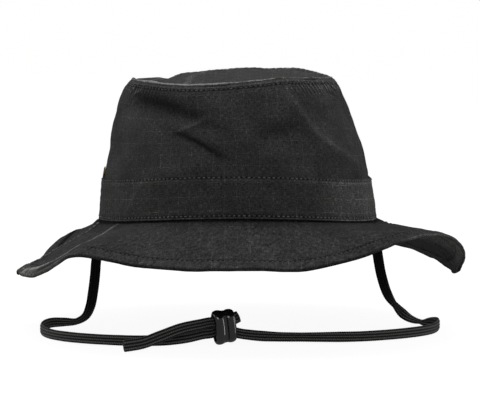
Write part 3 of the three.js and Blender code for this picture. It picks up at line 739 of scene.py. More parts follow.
def fine_wear_and_light(azimuth, height):
    """Where the wall is painted pale, on puckers, its roll and ridges, partly rubbing and partly painted
    highlight, and dark, a painted shade, in its stitched groove, pucker troughs and creases.
    """
    across = girth_at(azimuth, height)
    top = CROWN_HEIGHT - height
    gather = between(GATHER_ROWS, 1, azimuth, 360.0)
    fan = across + 0.8 * top * np.sin(np.radians(azimuth * 2))
    rub_and_light = (0.1 + 0.9 * gather) * puckers(fan, 3.3, 21) * bell(top, 8) * ease(top, 1, 3)
    rub_and_light = rub_and_light + 0.35 * bell(top - 1.3, 0.6)
    rub_and_light = rub_and_light - 0.75 * bell(height - TIP_SEAM_ROW, 0.5)
    rub_and_light = rub_and_light + 0.5 * corner_gathers(azimuth, across, top)
    near = np.mod(azimuth, 360) * WALL_DEGREE
    # Positive lines paint ridges pale, a painted highlight; negative lines paint creases and fold sides
    # dark, a painted shade.
    ridges = (
        ([(299, 78), (302, 72), (306, 64), (309.5, 55)], 2.6, 0.2),
        ([(309.5, 55), (313, 50.5), (320, 45), (336, 37)], 3.4, 0.16),
        ([(256, 65), (250, 61.5), (242, 57)], 1.2, 0.3),
        ([(242, 56), (248, 52), (256, 45), (263, 38)], 1.8, -0.6),
        ([(211, 77.5), (219, 78.5), (231, 76.5), (241, 73.5), (252, 69)], 5.0, -0.7),
        ([(284, 54), (292, 58), (301, 61)], 6.0, -0.25),
    )
    for line, reach, amount in ridges:
        rub_and_light = rub_and_light + fold_depth(near, height, flat_line(line, WALL_DEGREE), reach, reach, amount)
    return rub_and_light


relief = np.where(outside, wall_relief(azimuth_grid, height_grid), 0.0)
wall_rings = on_wall(azimuth_grid, height_grid, wall_inside[:, None] - relief)
azimuth_closed, height_closed = np.meshgrid(columns_closed, np.append(wall_heights, -8.0))
wall_map = np.stack([girth_at(azimuth_closed, height_closed), height_closed], -1)
wall_wear_and_light = np.clip(fine_wear_and_light(azimuth_grid, height_grid) + 0.13, -1.2, 1)
wall_wear_and_light = np.where(outside, wall_wear_and_light, 0.0)

# Ripstop cotton, garment washed: dull charcoal threads about 0.4 mm apart, with a doubled thread every
# 7 to 8 mm that stands a little proud and pale. Its wear values make raised seams, ridges and rolls
# paler, partly rubbing and partly painted highlight, and paint grooves, gaps and the sides of folds
# turned from the light darker, a painted shade. The threads are drawn 0.7 mm apart, because finer ones
# vanish at this distance. Patterns follow the cloth's own map, which is in millimetres.
WARP_LINES = 3.55
WEFT_LINES = 4.15
LINE_HALF_WIDTH = 0.32
cotton = new_material("ripstop_cotton")
tree = cotton.node_tree
cloth = add_node(tree, "ShaderNodeUVMap", uv_map="cloth")
split = add_node(tree, "ShaderNodeSeparateXYZ", {"Vector": cloth.outputs[0]})


def grid_line(direction, half_pitch):
    """A pale doubled thread, at twice this many millimetres from the next."""
    wave = add_node(
        tree, "ShaderNodeMath", {0: split.outputs[direction], 1: half_pitch}, operation="PINGPONG"
    )
    return add_node(
        tree,
        "ShaderNodeMapRange",
        {"Value": wave.outputs[0], "From Min": LINE_HALF_WIDTH, "From Max": 0.0},
    )


warp_line = grid_line("X", WARP_LINES)
weft_line = grid_line("Y", WEFT_LINES)
lines = add_node(
    tree, "ShaderNodeMath", {0: warp_line.outputs[0], 1: weft_line.outputs[0]}, operation="MAXIMUM"
)
broken = add_node(tree, "ShaderNodeTexNoise", {"Vector": cloth.outputs[0], "Scale": 0.09, "Detail": 4.0})
shown = add_node(
    tree,
    "ShaderNodeMapRange",
    {"Value": broken.outputs["Fac"], "From Min": 0.38, "From Max": 0.62, "To Min": 0.25, "To Max": 1.0},
)
lines = add_node(
    tree, "ShaderNodeMath", {0: lines.outputs[0], 1: shown.outputs[0]}, operation="MULTIPLY"
)
warp_map = add_node(tree, "ShaderNodeMapping", {"Vector": cloth.outputs[0], "Scale": (2.1, 0.4, 1.0)})
warp = add_node(tree, "ShaderNodeTexNoise", {"Vector": warp_map.outputs[0], "Scale": 1.0, "Detail": 3.0})
weft_map = add_node(tree, "ShaderNodeMapping", {"Vector": cloth.outputs[0], "Scale": (0.4, 2.1, 1.0)})
weft = add_node(tree, "ShaderNodeTexNoise", {"Vector": weft_map.outputs[0], "Scale": 1.0, "Detail": 3.0})
grain = add_node(
    tree,
    "ShaderNodeTexNoise",
    {"Vector": cloth.outputs[0], "Scale": 2.0, "Detail": 2.0, "Roughness": 0.6},
)
threads = add_node(
    tree, "ShaderNodeMath", {0: warp.outputs["Fac"], 1: weft.outputs["Fac"]}, operation="ADD"
)
threads = add_node(
    tree, "ShaderNodeMath", {0: threads.outputs[0], 1: grain.outputs["Fac"]}, operation="ADD"
)
cloudy = add_node(tree, "ShaderNodeTexNoise", {"Vector": cloth.outputs[0], "Scale": 0.05, "Detail": 2.0})
faded_and_lit = add_node(
    tree,
    "ShaderNodeMath",
    {0: cloudy.outputs["Fac"], 1: 0.4, 2: threads.outputs[0]},
    operation="MULTIPLY_ADD",
)
faded_and_lit = add_node(
    tree,
    "ShaderNodeMath",
    {0: lines.outputs[0], 1: 0.27, 2: faded_and_lit.outputs[0]},
    operation="MULTIPLY_ADD",
)
# These wear values paint highlight and shade as well as wear.
worn_and_lit = add_node(tree, "ShaderNodeAttribute", attribute_name="wear_and_painted_light")
faded_and_lit = add_node(
    tree,
    "ShaderNodeMath",
    {0: worn_and_lit.outputs["Fac"], 1: 0.75, 2: faded_and_lit.outputs[0]},
    operation="MULTIPLY_ADD",
)
spread = add_node(
    tree, "ShaderNodeMapRange", {"Value": faded_and_lit.outputs[0], "From Min": 1.075, "From Max": 2.48}
)
tone = add_node(tree, "ShaderNodeValToRGB", {"Fac": spread.outputs[0]})
tone.color_ramp.elements[0].color = colour("#060606")
tone.color_ramp.elements[1].color = colour("#989896")
tone.color_ramp.elements.new(0.24).color = colour("#1b1b1b")
tone.color_ramp.elements.new(0.42).color = colour("#2c2c2c")
tone.color_ramp.elements.new(0.62).color = colour("#414140")
tone.color_ramp.elements.new(0.8).color = colour("#565655")
raised = add_node(
    tree,
    "ShaderNodeMath",
    {0: lines.outputs[0], 1: 0.35, 2: threads.outputs[0]},
    operation="MULTIPLY_ADD",
)
bump = add_node(
    tree, "ShaderNodeBump", {"Height": raised.outputs[0], "Strength": 0.8, "Distance": 0.0004}
)
shader = add_node(
    tree,
    "ShaderNodeBsdfPrincipled",
    {
        "Base Color": tone.outputs["Color"],
        "Normal": bump.outputs[0],
        "Roughness": 0.88,
        "Specular IOR Level": 0.1,
        "Sheen Weight": 0.04,
        "Sheen Roughness": 0.5,
    },
)
add_node(tree, "ShaderNodeOutputMaterial", {"Surface": shader.outputs[0]})

crown_wall = skin("crown_wall_cloth", wall_rings[::-1], wall_map[::-1], wall_wear_and_light[::-1], True, cotton)
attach(crown_wall, "root")
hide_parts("crown_wall")

# Crown tip: the oval top panel of ripstop, slightly domed. Its edge is turned down into the seam, which
# leaves a narrow roll all round, painted pale as a painted highlight that is brightest on the left, and
# three soft creases cross it. The whole top is painted a little paler, a painted highlight from above.
TIP_CLOTH = 1.6
TIP_DOME = 1.2
TIP_WIDE = 62.15
TIP_LONG = 76.55
TIP_LEAN = -3.6
TIP_REACH = 70
# Each fold runs straight between two azimuths of the rim, with its half width and its depth. A negative
# depth stands out.
TIP_FOLDS = [
    (242.5, 106, 3.0, -1.2),
    (256, 92, 8.0, 1.3),
    (234, 141, 9.0, 1.2),
    (219, 131, 2.4, -0.5),
    (288, 246, 2.6, -0.9),
    (300, 60, 14.0, 0.9),
]
# The three folds that stand out are painted pale along their backs, a painted highlight, over these half
# widths.
TIP_CREASES = [
    (242.5, 106, 2.0),
    (219, 131, 1.8),
    (288, 246, 2.0),
]
tip_reach = np.concatenate([np.linspace(0.02, 0.94, 34), np.linspace(0.947, 0.995, 9), [1.0]])
tip_under = np.concatenate([np.zeros(43), [0.15, 0.6, 1.0]])
tip_reach = np.concatenate([tip_reach, [1.0, 0.99], np.linspace(0.96, 0.02, 10)])
tip_under = np.concatenate([tip_under, np.full(10, TIP_CLOTH)])


def beside_chord(x, y, start, stop):
    """Distance from a straight line across the tip, between two azimuths of its rim."""
    x0, x1 = (TIP_LEAN + TIP_WIDE * math.cos(math.radians(turn)) for turn in (start, stop))
    y0, y1 = (TIP_LONG * math.sin(math.radians(turn)) for turn in (start, stop))
    return ((x - x0) * (y1 - y0) - (y - y0) * (x1 - x0)) / math.hypot(x1 - x0, y1 - y0)


def on_tip(azimuth, reach, under):
    """A point of the tip, at a share of the way from its middle to its rim."""
    azimuth, reach = np.broadcast_arrays(np.asarray(azimuth, float), np.asarray(reach, float))
    x = TIP_LEAN + TIP_WIDE * np.cos(np.radians(azimuth)) * reach
    y = TIP_LONG * np.sin(np.radians(azimuth)) * reach
    dent = np.zeros(azimuth.shape)
    for start, stop, width, depth in TIP_FOLDS:
        dent += depth * bell(beside_chord(x, y, start, stop), width)
    seam = CROWN_HEIGHT + lift(azimuth, np.full(azimuth.shape, float(CROWN_HEIGHT))) * reach**1.5
    z = seam + TIP_DOME * (1 - reach**2) - dent * (1 - reach**6) - under
    return np.stack([x, y, z], -1)


tip_azimuth, tip_reach_grid = np.meshgrid(columns, tip_reach)
tip_rings = on_tip(tip_azimuth, tip_reach_grid, tip_under[:, None])
tip_x, tip_y = tip_rings[..., 0], tip_rings[..., 1]
tip_top = (tip_under < 0.1)[:, None]
rim_way = girth_at(tip_azimuth, 86.0)
from_rim = (1 - tip_reach_grid) * TIP_REACH
tip_relief = 0.3 * ripple(tip_x, tip_y, 30, 31) + 0.08 * ripple(tip_x, tip_y, 11, 32)
tip_relief += 0.22 * puckers(rim_way, 5.2, 33) * bell(from_rim, 6) * ease(from_rim, 0, 1.5)
tip_left = stretch(np.mod(tip_azimuth, 360), 196, 210, 256, 290)
roll = bell(from_rim - 0.9, 0.9)
tip_relief += (0.55 + 0.5 * tip_left) * roll - 0.35 * bell(from_rim - 3.2, 1.1)
tip_crease = np.zeros(tip_azimuth.shape)
for start, stop, reach in TIP_CREASES:
    away = beside_chord(tip_x, tip_y, start, stop) + 1.6 * ripple(tip_x, tip_y, 22, 36)
    tip_crease += bell(away, reach) * bell(from_rim, 75)
tip_rings[..., 2] += np.where(tip_top, tip_relief, 0.0)
slubs = np.random.RandomState(35).normal(0, 1, tip_azimuth.shape)
slubs = (slubs + np.roll(slubs, 1, 1)) * np.clip(tip_reach_grid, 0.2, 1)
# Painted highlight on the roll, most on the left, and along the creases' backs, and a painted lift of the
# whole top; the slubs are the cloth's own.
tip_grain_and_light = (0.6 + 0.9 * tip_left + 0.3 * ripple(rim_way, from_rim * 3, 9, 34)) * roll + 0.36 * tip_crease
tip_grain_and_light += 0.15 * slubs * ease(from_rim, 1, 4) + 0.2
tip_grain_and_light = np.where(tip_top, tip_grain_and_light, 0.25)
tip_closed, reach_closed = np.meshgrid(columns_closed, tip_reach)
tip_map = on_tip(tip_closed, reach_closed, 0.0)[..., :2]
crown_tip = skin("crown_tip_cloth", tip_rings, tip_map, tip_grain_and_light, False, cotton)
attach(crown_tip, "root")
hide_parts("crown_tip")

# Crown band: a strip of the same ripstop round the foot of the wall, turned under at both edges and
# held by one row of stitches above and one below.
BAND_CLOTH = 1.5
BAND_HIGH_ROW = 25.1
BAND_LOW_ROW = 2.6
band_face = np.linspace(1.5, 25.2, 29)
band_back = np.array([20.0, 14, 8, 3])
band_heights = [[0.25, 0.3, 0.5, 0.9], band_face, [25.7, 26.1, 26.3, 26.2], band_back]
band_heights = np.concatenate(band_heights)
band_inside = [[-0.35, -0.8, -1.2, -1.42], np.full(29, -BAND_CLOTH), [-1.42, -1.15, -0.7, -0.2]]
band_inside = np.concatenate(band_inside + [np.full(len(band_back), -0.15)])
band_azimuth, band_height = np.meshgrid(columns, band_heights)
band_outer = np.repeat((band_inside < -0.6)[:, None], AROUND, 1)


def band_relief(azimuth, height):
    """How far the fine forms of the cloth stand out from the band."""
    across = girth_at(azimuth, height)
    near = np.mod(azimuth, 360)
    relief = 0.2 * ripple(across, height, 26, 41) + 0.09 * ripple(across, height * 1.6, 9, 42)
    low = 0.2 * puckers(across, 5.4, 43) * bell(height, 6)
    high = 0.13 * puckers(across, 5.8, 44) * bell(height - 23, 5)
    relief = relief + low + high
    fold = flat_line([(219, 4), (227, 21)], WALL_DEGREE)
    relief = relief + fold_depth(near * WALL_DEGREE, height, fold, 1.6, 3.2, 0.9)
    right = stretch(near, 308, 322, 352, 359) * 0.4 * puckers(across + 0.3 * height, 5.3, 45)
    relief = relief + right * bell(height, 8)
    for level in (BAND_HIGH_ROW, BAND_LOW_ROW):
        groove = bell(height - level, 0.5)
        relief = relief - groove * (0.2 + 0.05 * stitch_wave(across))
    return relief


relief = np.where(band_outer, band_relief(band_azimuth, band_height), 0.0)
band_rings = on_wall(band_azimuth, band_height, band_inside[:, None] - relief)
band_azimuth_closed, band_height_closed = np.meshgrid(columns_closed, np.append(band_heights, 0.0))
band_map = np.stack([girth_at(band_azimuth_closed, band_height_closed), band_height_closed + 1.7], -1)
# Painted light and shade on the band: a painted highlight under the upper stitches and along the folded
# foot; painted shade on the top edge, in both stitched grooves and as a black gap at the foot against the
# brim; both sides painted paler as painted light; the hidden rows dark.
band_painted_light = np.where(
    band_outer,
    0.35 * bell(band_height - 23.9, 0.6)
    + 0.45 * bell(band_height - 1.5, 0.5)
    - 0.35 * bell(band_height - 26.3, 0.4)
    - 0.75 * bell(band_height - BAND_HIGH_ROW, 0.5)
    - 0.85 * bell(band_height - BAND_LOW_ROW, 0.5)
    - 1.3 * bell(band_height - 0.3, 0.6)
    + 0.38 * ease(np.mod(band_azimuth, 360), 296, 325)
    + 0.1 * (1 - ease(np.mod(band_azimuth, 360), 225, 245))
    + 0.11,
    -0.9,
)
crown_band = skin("crown_band_cloth", band_rings[::-1], band_map[::-1], band_painted_light[::-1], True, cotton)
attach(crown_band, "root")
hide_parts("crown_band")

# Brim: two layers of ripstop, joined round the edge by an 8 mm hem. It is soft, so it stays up in
# front, rolls down at the right and droops at the left, where a side seam runs across it.
BRIM_WIDTH = 63
BRIM_CLOTH = 1.8
HEM_STEP = 0.5
HEM_ROW = 54.6
BRIM_DEGREE = math.radians(110)
LEFT_SEAM = 197
RIGHT_SEAM = 357
# Each row is an azimuth, the height of the brim's edge there, and how many degrees its edge curls down.
BRIM_ROWS = [
    (4, -33.6, 60),
    (11, -33.4, 48),
    (18, -32.2, 36),
    (26, -30, 26),
    (40, -25.5, 14),
    (62, -20, 6),
    (90, -16, 4),
    (112, -17.5, 3),
    (128, -18.6, 2),
    (136, -18.2, 0),
    (140, -19.6, 0),
    (144, -23.0, 0),
    (148, -26.6, 0),
    (152, -30.2, 0),
    (160, -33.6, 0),
    (170, -34.4, 2),
    (180, -33.8, 4),
    (190, -31.6, 7),
    (202, -29.7, 11),
    (208, -28, 15),
    (214, -25.6, 17),
    (220, -21.8, 18),
    (224, -17.4, 17),
    (228, -12.6, 15),
    (232, -10, 12),
    (236, -9.8, 10),
    (242, -11.8, 8),
    (248, -13.8, 7),
    (256, -15, 6),
    (270, -15.2, 5),
    (284, -15.4, 5),
    (292, -12.6, 5),
    (300, -6.8, 6),
    (308, -1.9, 7),
    (314, 0, 8),
    (319, 0, 9),
    (324, -1.8, 12),
    (329, -5.2, 20),
    (334, -9.8, 34),
    (340, -15.4, 52),
    (346, -21, 66),
    (352, -27, 72),
    (358, -31.2, 68),
]
brim_steps = 70
turn_round = np.mod(columns, 360)
edge = between(BRIM_ROWS, 1, columns, 360.0)
curl = between(BRIM_ROWS, 2, columns, 360.0)
fall = lift(columns, np.zeros(AROUND)) - edge
step_way = (np.arange(brim_steps) + 0.5) / brim_steps
# The slope at which the brim leaves the seam is halved in on until its edge lies at the height given.
gentle = np.full(AROUND, -45.0)
steep = np.full(AROUND, 80.0)
for _ in range(24):
    slope = np.radians(((gentle + steep) / 2)[:, None] + curl[:, None] * step_way**4)
    down = (np.sin(slope) * BRIM_WIDTH / brim_steps).sum(1)
    gentle = np.where(down < fall, (gentle + steep) / 2, gentle)
    steep = np.where(down < fall, steep, (gentle + steep) / 2)
slope = np.radians(((gentle + steep) / 2)[:, None] + curl[:, None] * step_way**4)
# The cloth takes equal steps outwards, and is gathered a little shorter beside the left seam.
step_long = BRIM_WIDTH / brim_steps * (1 - 0.075 * bell(turn_round - 190, 13)[:, None])
start_row = np.zeros((AROUND, 1))
walk_out = np.hstack([start_row, np.cumsum(np.cos(slope), 1)]) * step_long
walk_down = np.hstack([start_row, np.cumsum(np.sin(slope), 1)]) * step_long
brim_start = on_wall(columns, np.zeros(AROUND), -BAND_CLOTH)
brim_start[:, 2] = lift(columns, np.zeros(AROUND))
brim_way = np.linspace(0, BRIM_WIDTH, brim_steps + 1)
middle = np.zeros((brim_steps + 1, AROUND, 3))
way = outward(columns)
middle[..., 0] = (brim_start[:, 0:1] + way[:, 0:1] * walk_out).T
middle[..., 1] = (brim_start[:, 1:2] + way[:, 1:2] * walk_out).T
middle[..., 2] = (brim_start[:, 2:3] - walk_down).T
round_way = np.roll(middle, -1, 1) - np.roll(middle, 1, 1)
out_way = np.gradient(middle, axis=0)
upright = np.cross(out_way, round_way)
upright /= np.linalg.norm(upright, axis=-1, keepdims=True)
upright *= np.sign(upright[:1, :, 2:3])

# The brim's cloth map lies flat. Its pattern is drawn coarser from front to back, by 1 in 0.6, because
# the brim is seen almost from its edge and finer threads would vanish.
SEEN_DEPTH = 0.6
brim_azimuth, brim_out = np.meshgrid(columns, brim_way)
brim_round = np.radians(brim_azimuth) * (92 + brim_out)
brim_x = np.cos(np.radians(brim_azimuth)) * (86 + brim_out)
brim_y = np.sin(np.radians(brim_azimuth)) * (101 + brim_out)
hem = BRIM_WIDTH - brim_out
brim_relief = 0.32 * ripple(brim_x, brim_y, 40, 51) * ease(brim_out, 0, 14)
brim_relief += 0.1 * ripple(brim_x, brim_y, 13, 52) + 0.03 * ripple(brim_x, brim_y, 5, 53)
brim_relief += 0.22 * puckers(brim_round, 6.8, 54) * bell(brim_out, 7) * ease(brim_out, 0, 2)
brim_relief += 0.1 * puckers(brim_round, 7.6, 55) * bell(hem - 5, 3)
brim_relief += 0.3 * ease(brim_out, HEM_ROW, HEM_ROW + 1.2)
groove = bell(brim_out - HEM_ROW, 0.6)
brim_relief -= groove * (0.45 + 0.06 * stitch_wave(brim_round))
brim_relief -= 1.2 * bell(brim_out, 1.0)
near = np.mod(brim_azimuth, 360)
near_flat = near * BRIM_DEGREE

# A sharp ridge runs out over the left front and back along the edge. Its crest is painted pale, a
# painted highlight, and a band beyond it is painted dark, a painted shade. Behind, a dark slash is
# painted as the shadow of a fold, under a small raised lip.
RIDGE_LINE = [
    (215, 0),
    (218, 10),
    (220, 20),
    (222, 28),
    (225, 37),
    (226.5, 46),
    (225.5, 51),
    (221, 53.5),
    (217, 55.5),
    (212, 56),
    (208, 58.3),
    (202, 60.3),
]
SHADED_LINE = [(229, 57), (225, 58), (220, 59), (214, 60)]
SLASH_LINE = [(138, 50.5), (144, 49.6), (151, 49.6)]
ridge_line = flat_line(RIDGE_LINE, BRIM_DEGREE)
brim_relief -= fold_depth(near_flat, brim_out, ridge_line, 3.0, 3.0, -1.0)
ridge = fold_depth(near_flat, brim_out, ridge_line, 1.9, 1.9, 1.0)
ridge *= (0.9 + 0.15 * ripple(brim_out, near_flat, 12, 58)) * (1 + 0.4 * ease(brim_out, 32, 46))
shaded = fold_depth(near_flat, brim_out, flat_line(SHADED_LINE, BRIM_DEGREE), 1.6, 1.6, 1.0)
slash = fold_depth(near_flat, brim_out, flat_line(SLASH_LINE, BRIM_DEGREE), 1.1, 1.1, 1.0)
lip = stretch(near, 137, 141, 150, 156) * ease(brim_out, 48.9, 50.3)
brim_relief += 0.9 * lip * (1 - ease(brim_out, 51, 61))
side_seam = np.zeros(brim_azimuth.shape)
# Each side seam is raised and painted pale with stitch dashes, partly rubbing and partly painted highlight,
# most at the left.
for seam_azimuth, rubbed_and_lit in ((LEFT_SEAM, 1.0), (RIGHT_SEAM, 0.35)):
    away = (np.mod(near - seam_azimuth + 180, 360) - 180) * BRIM_DEGREE
    pale = 0.6 + 0.4 * stitch_wave(brim_out / 2)
    side_seam += bell(away, 1.3) * pale * rubbed_and_lit
    brim_relief += rubbed_and_lit * bell(away, 2.4) - 0.4 * bell(away, 0.5)
    brim_relief += 0.3 * rubbed_and_lit * puckers(brim_out, 6.1, 56) * bell(away, 5)
slump = ease(brim_out, 1, 16) - 0.9 * ease(brim_out, 42, 58)
brim_relief -= 3.2 * bell(near - 182, 15) * slump
back_left = stretch(near, 126, 134, 158, 168)
left_edge = stretch(near, 196, 203, 226, 236)
on_hem = ease(brim_out, HEM_ROW, HEM_ROW + 1)
slubs = np.random.RandomState(57).normal(0, 1, brim_azimuth.shape)
slubs = slubs + np.roll(slubs, 1, 0) + 0.6 * np.roll(slubs, 2, 0)
# The top's tone is mostly painted light: the ridge, the left hem and edge painted pale, a painted
# highlight; the slash, back left, hem groove, root by the band, band beyond the ridge and the right side
# painted darker, a painted shade. The slubs are the cloth's own.
brim_top_wear_and_light = 0.09 * slubs + 1.1 * ridge + 0.9 * side_seam + 0.03
brim_top_wear_and_light -= 0.1 * back_left + 3 * slash
brim_top_wear_and_light += 0.08 * on_hem - 0.65 * bell(brim_out - HEM_ROW, 0.9)
brim_top_wear_and_light -= 1.7 * bell(brim_out, 1.5) + 0.3 * bell(brim_out, 10)
brim_top_wear_and_light += 0.25 * stretch(near, 180, 190, 200, 212) * ease(brim_out, 50, 62)
brim_top_wear_and_light += 0.4 * left_edge * bell(hem, 1.8) - 0.8 * shaded
brim_top_wear_and_light -= 0.15 * stretch(near, 292, 304, 340, 352)
# The underside is painted paler than the top, most at the right, as painted light, with painted shade in
# its hem groove.
under_right = bell(np.mod(near - 342 + 180, 360) - 180, 20)
brim_under_wear_and_light = 0.15 * on_hem + 0.3 + 0.03 * slubs + 0.5 * under_right - 0.15 * groove

upper = middle + upright * brim_relief[..., None]
rim_turns = np.radians([40.0, 75.0, 105.0, 140.0])
thick = BRIM_CLOTH + HEM_STEP
last = upper[-1] - upright[-1] * thick / 2
out_last = out_way[-1] / np.linalg.norm(out_way[-1], axis=-1, keepdims=True)
rim = []
for turn in rim_turns:
    rim.append(last + (upright[-1] * math.cos(turn) + out_last * math.sin(turn)) * thick / 2)
# The underside keeps every row near the hem, and fewer towards the seam.
under_rows = [70, 69, 68, 66, 64, 62, 61, 60, 58, 55] + list(range(51, 6, -4)) + [4, 2, 0]
under_thick = BRIM_CLOTH + HEM_STEP * ease(brim_way, HEM_ROW, HEM_ROW + 1)
under_thick -= 0.14 * bell(brim_way - HEM_ROW, 0.9)
lower = upper - upright * under_thick[:, None, None]
inner_top = on_wall(columns, np.zeros(AROUND), WALL_CLOTH)
inner_top[:, 2] = lift(columns, np.zeros(AROUND)) - 0.3
inner_low = inner_top.copy()
inner_low[:, 2] -= BRIM_CLOTH - 0.3
brim_rings = np.concatenate([inner_top[None], upper, np.array(rim), lower[under_rows], inner_low[None]])
round_rim = 1 + 0.005 * np.arange(1, 5)[:, None]
flat = np.stack([brim_x, brim_y * SEEN_DEPTH], -1)
flat_rim = flat[-1:] * round_rim[..., None]
brim_map = np.concatenate([flat[:1] * 0.98, flat, flat_rim, flat[under_rows]])
brim_map = np.concatenate([brim_map, brim_map[:1], brim_map[:1]])
brim_map = np.concatenate([brim_map, brim_map[:, :1]], 1)
blank = np.zeros((1, AROUND))
# The rim is painted pale at the left, a painted highlight, and at the right, partly rubbing and partly
# painted highlight.
rim_right = stretch(turn_round, 298, 312, 346, 356)
rim_left = stretch(turn_round, 192, 200, 224, 234)
rim_wear_and_light = np.tile(0.65 * rim_right + 0.7 * rim_left - 0.15, (4, 1))
# The rows in the gap under the band are painted black, a painted shade.
brim_wear_and_light = np.concatenate([blank - 1, brim_top_wear_and_light, rim_wear_and_light, brim_under_wear_and_light[under_rows], blank - 1])
brim_wear_and_light = np.clip(brim_wear_and_light, -1.5, 1.2)
brim = skin("brim_cloth", brim_rings[::-1], brim_map[::-1], brim_wear_and_light[::-1], True, cotton)
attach(brim, "root")
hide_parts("brim")

# Stitching: black cotton thread, lockstitched every 3 mm, sunk a little into the cloth. Rows hold the
# tip's seam, both edges of the band, the hem on both faces and the brim's side seams.
STITCH_LENGTH = 1.8
THREAD_RADIUS = 0.4
THREAD_SIDES = 6
BESIDE_SEAM = 0.95


def stitch_row(points, normals, looped, tone):
    """Small rounded stitches along a line of points, with the cloth's own direction at each."""
    if looped:
        points = np.vstack([points, points[:1]])
        normals = np.vstack([normals, normals[:1]])
    run = np.concatenate([[0], np.cumsum(np.linalg.norm(np.diff(points, axis=0), axis=1))])
    count = round(run[-1] / STITCH_PITCH)
    pitch = run[-1] / count
    parts = np.array([-1.0, -0.86, -0.45, 0.45, 0.86, 1.0])
    swell = np.array([0.25, 0.75, 1.0, 1.0, 0.75, 0.25])
    dip = np.array([-0.85, -0.35, 0.0, 0.0, -0.35, -0.85])
    turns = np.linspace(0, 2 * math.pi, THREAD_SIDES + 1)[:-1]
    shape = np.random.RandomState(count)
    uneven = shape.uniform(0.35, 1, count) * tone
    tones.extend(uneven.tolist())
    made = []
    for index in range(count):
        at = (index + 0.5) * pitch + parts * STITCH_LENGTH / 2
        centre = np.stack([np.interp(at, run, points[:, axis]) for axis in range(3)], 1)
        up = np.array([np.interp(at[2], run, normals[:, axis]) for axis in range(3)])
        ahead = centre[-1] - centre[0]
        ahead /= np.linalg.norm(ahead)
        up -= ahead * (up @ ahead)
        up /= np.linalg.norm(up)
        side = np.cross(ahead, up)
        centre = centre + up * (dip * THREAD_RADIUS + 0.12)[:, None]
        ring = np.cos(turns)[None, :, None] * side + np.sin(turns)[None, :, None] * up
        made.append(centre[:, None] + ring * (swell * THREAD_RADIUS)[:, None, None])
    return made


def direction_out(rings):
    """The outward direction of a grid of points, rows by columns round the hat."""
    normal = np.cross(np.roll(rings, -1, 1) - np.roll(rings, 1, 1), np.gradient(rings, axis=0))
    return normal / np.linalg.norm(normal, axis=-1, keepdims=True)


def wall_line(height, inside, relief_of):
    """A level line round the crown, with the cloth's own direction out at each point."""
    levels = np.array([height - 0.6, height, height + 0.6])
    azimuth, level = np.meshgrid(columns, levels)
    rings = on_wall(azimuth, level, inside - relief_of(azimuth, level))
    return rings[1], direction_out(rings)[1]


stitches = []
tones = []
# The thread is one colour; each row's tone is painted to how lit it is, a painted highlight on paler rows
# and painted shade on darker ones.
stitches += stitch_row(*wall_line(TIP_SEAM_ROW, 0.0, wall_relief), True, 0.42)
stitches += stitch_row(*wall_line(BAND_HIGH_ROW, -BAND_CLOTH, band_relief), True, 0.52)
stitches += stitch_row(*wall_line(BAND_LOW_ROW, -BAND_CLOTH, band_relief), True, 0.68)
hem_index = round(HEM_ROW / BRIM_WIDTH * brim_steps)
stitches += stitch_row(upper[hem_index], upright[hem_index], True, 0.3)
stitches += stitch_row(lower[hem_index], -upright[hem_index], True, 0.5)
for seam_azimuth, tone in ((LEFT_SEAM, 1.0), (RIGHT_SEAM, 0.6)):
    for beside in (-BESIDE_SEAM, BESIDE_SEAM):
        column = round((seam_azimuth + beside - 90) % 360 / 360 * AROUND) % AROUND
        stitches += stitch_row(upper[2:, column], upright[2:, column], False, tone)
rings = np.array(stitches)
count, length, sides = rings.shape[:3]
faces = []
for ring in range(length - 1):
    for side in range(sides):
        after = (side + 1) % sides
        low, high = ring * sides, (ring + 1) * sides
        faces.append([low + side, low + after, high + after, high + side])
faces.append(list(range(sides))[::-1])
faces.append([(length - 1) * sides + side for side in range(sides)])
starts = [index * length * sides for index in range(count)]
all_faces = [[start + corner for corner in face] for start in starts for face in faces]
thread_mesh = bpy.data.meshes.new("stitching")
thread_mesh.from_pydata((rings.reshape(-1, 3) * MM).tolist(), [], all_faces)
thread_mesh.polygons.foreach_set("use_smooth", [True] * len(thread_mesh.polygons))
mark = thread_mesh.attributes.new("wear_and_painted_light", "FLOAT", "POINT")
mark.data.foreach_set("value", np.repeat(np.array(tones, np.float32), length * sides))
thread_mesh.update()
stitching = bpy.data.objects.new("stitching", thread_mesh)
bpy.context.scene.collection.objects.link(stitching)

# Mercerised cotton thread: a shade paler than the cloth, with a faint lustre that gives each stitch a
# bright back. The fuzz of its twist is drawn as grains 1 mm across, coarser than they are.
thread = new_material("cotton_thread")
tree = thread.node_tree
place = add_node(tree, "ShaderNodeTexCoord")
twist = add_node(
    tree, "ShaderNodeTexNoise", {"Vector": place.outputs["Object"], "Scale": 900.0, "Detail": 2.0}
)
faded_and_lit = add_node(tree, "ShaderNodeAttribute", attribute_name="wear_and_painted_light")
shade = add_node(
    tree,
    "ShaderNodeMath",
    {0: twist.outputs["Fac"], 1: 0.4, 2: faded_and_lit.outputs["Fac"]},
    operation="MULTIPLY_ADD",
)
tone = add_node(tree, "ShaderNodeValToRGB", {"Fac": shade.outputs[0]})
tone.color_ramp.elements[0].position = 0.3
tone.color_ramp.elements[0].color = colour("#0c0c0c")
tone.color_ramp.elements[1].position = 1.0
tone.color_ramp.elements[1].color = colour("#686866")
bump = add_node(
    tree, "ShaderNodeBump", {"Height": twist.outputs["Fac"], "Strength": 0.4, "Distance": 0.0001}
)
shader = add_node(
    tree,
    "ShaderNodeBsdfPrincipled",
    {
        "Base Color": tone.outputs["Color"],
        "Normal": bump.outputs[0],
        "Roughness": 0.55,
        "Sheen Weight": 0.2,
    },
)
add_node(tree, "ShaderNodeOutputMaterial", {"Surface": shader.outputs[0]})
thread_mesh.materials.append(thread)
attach(stitching, "root")

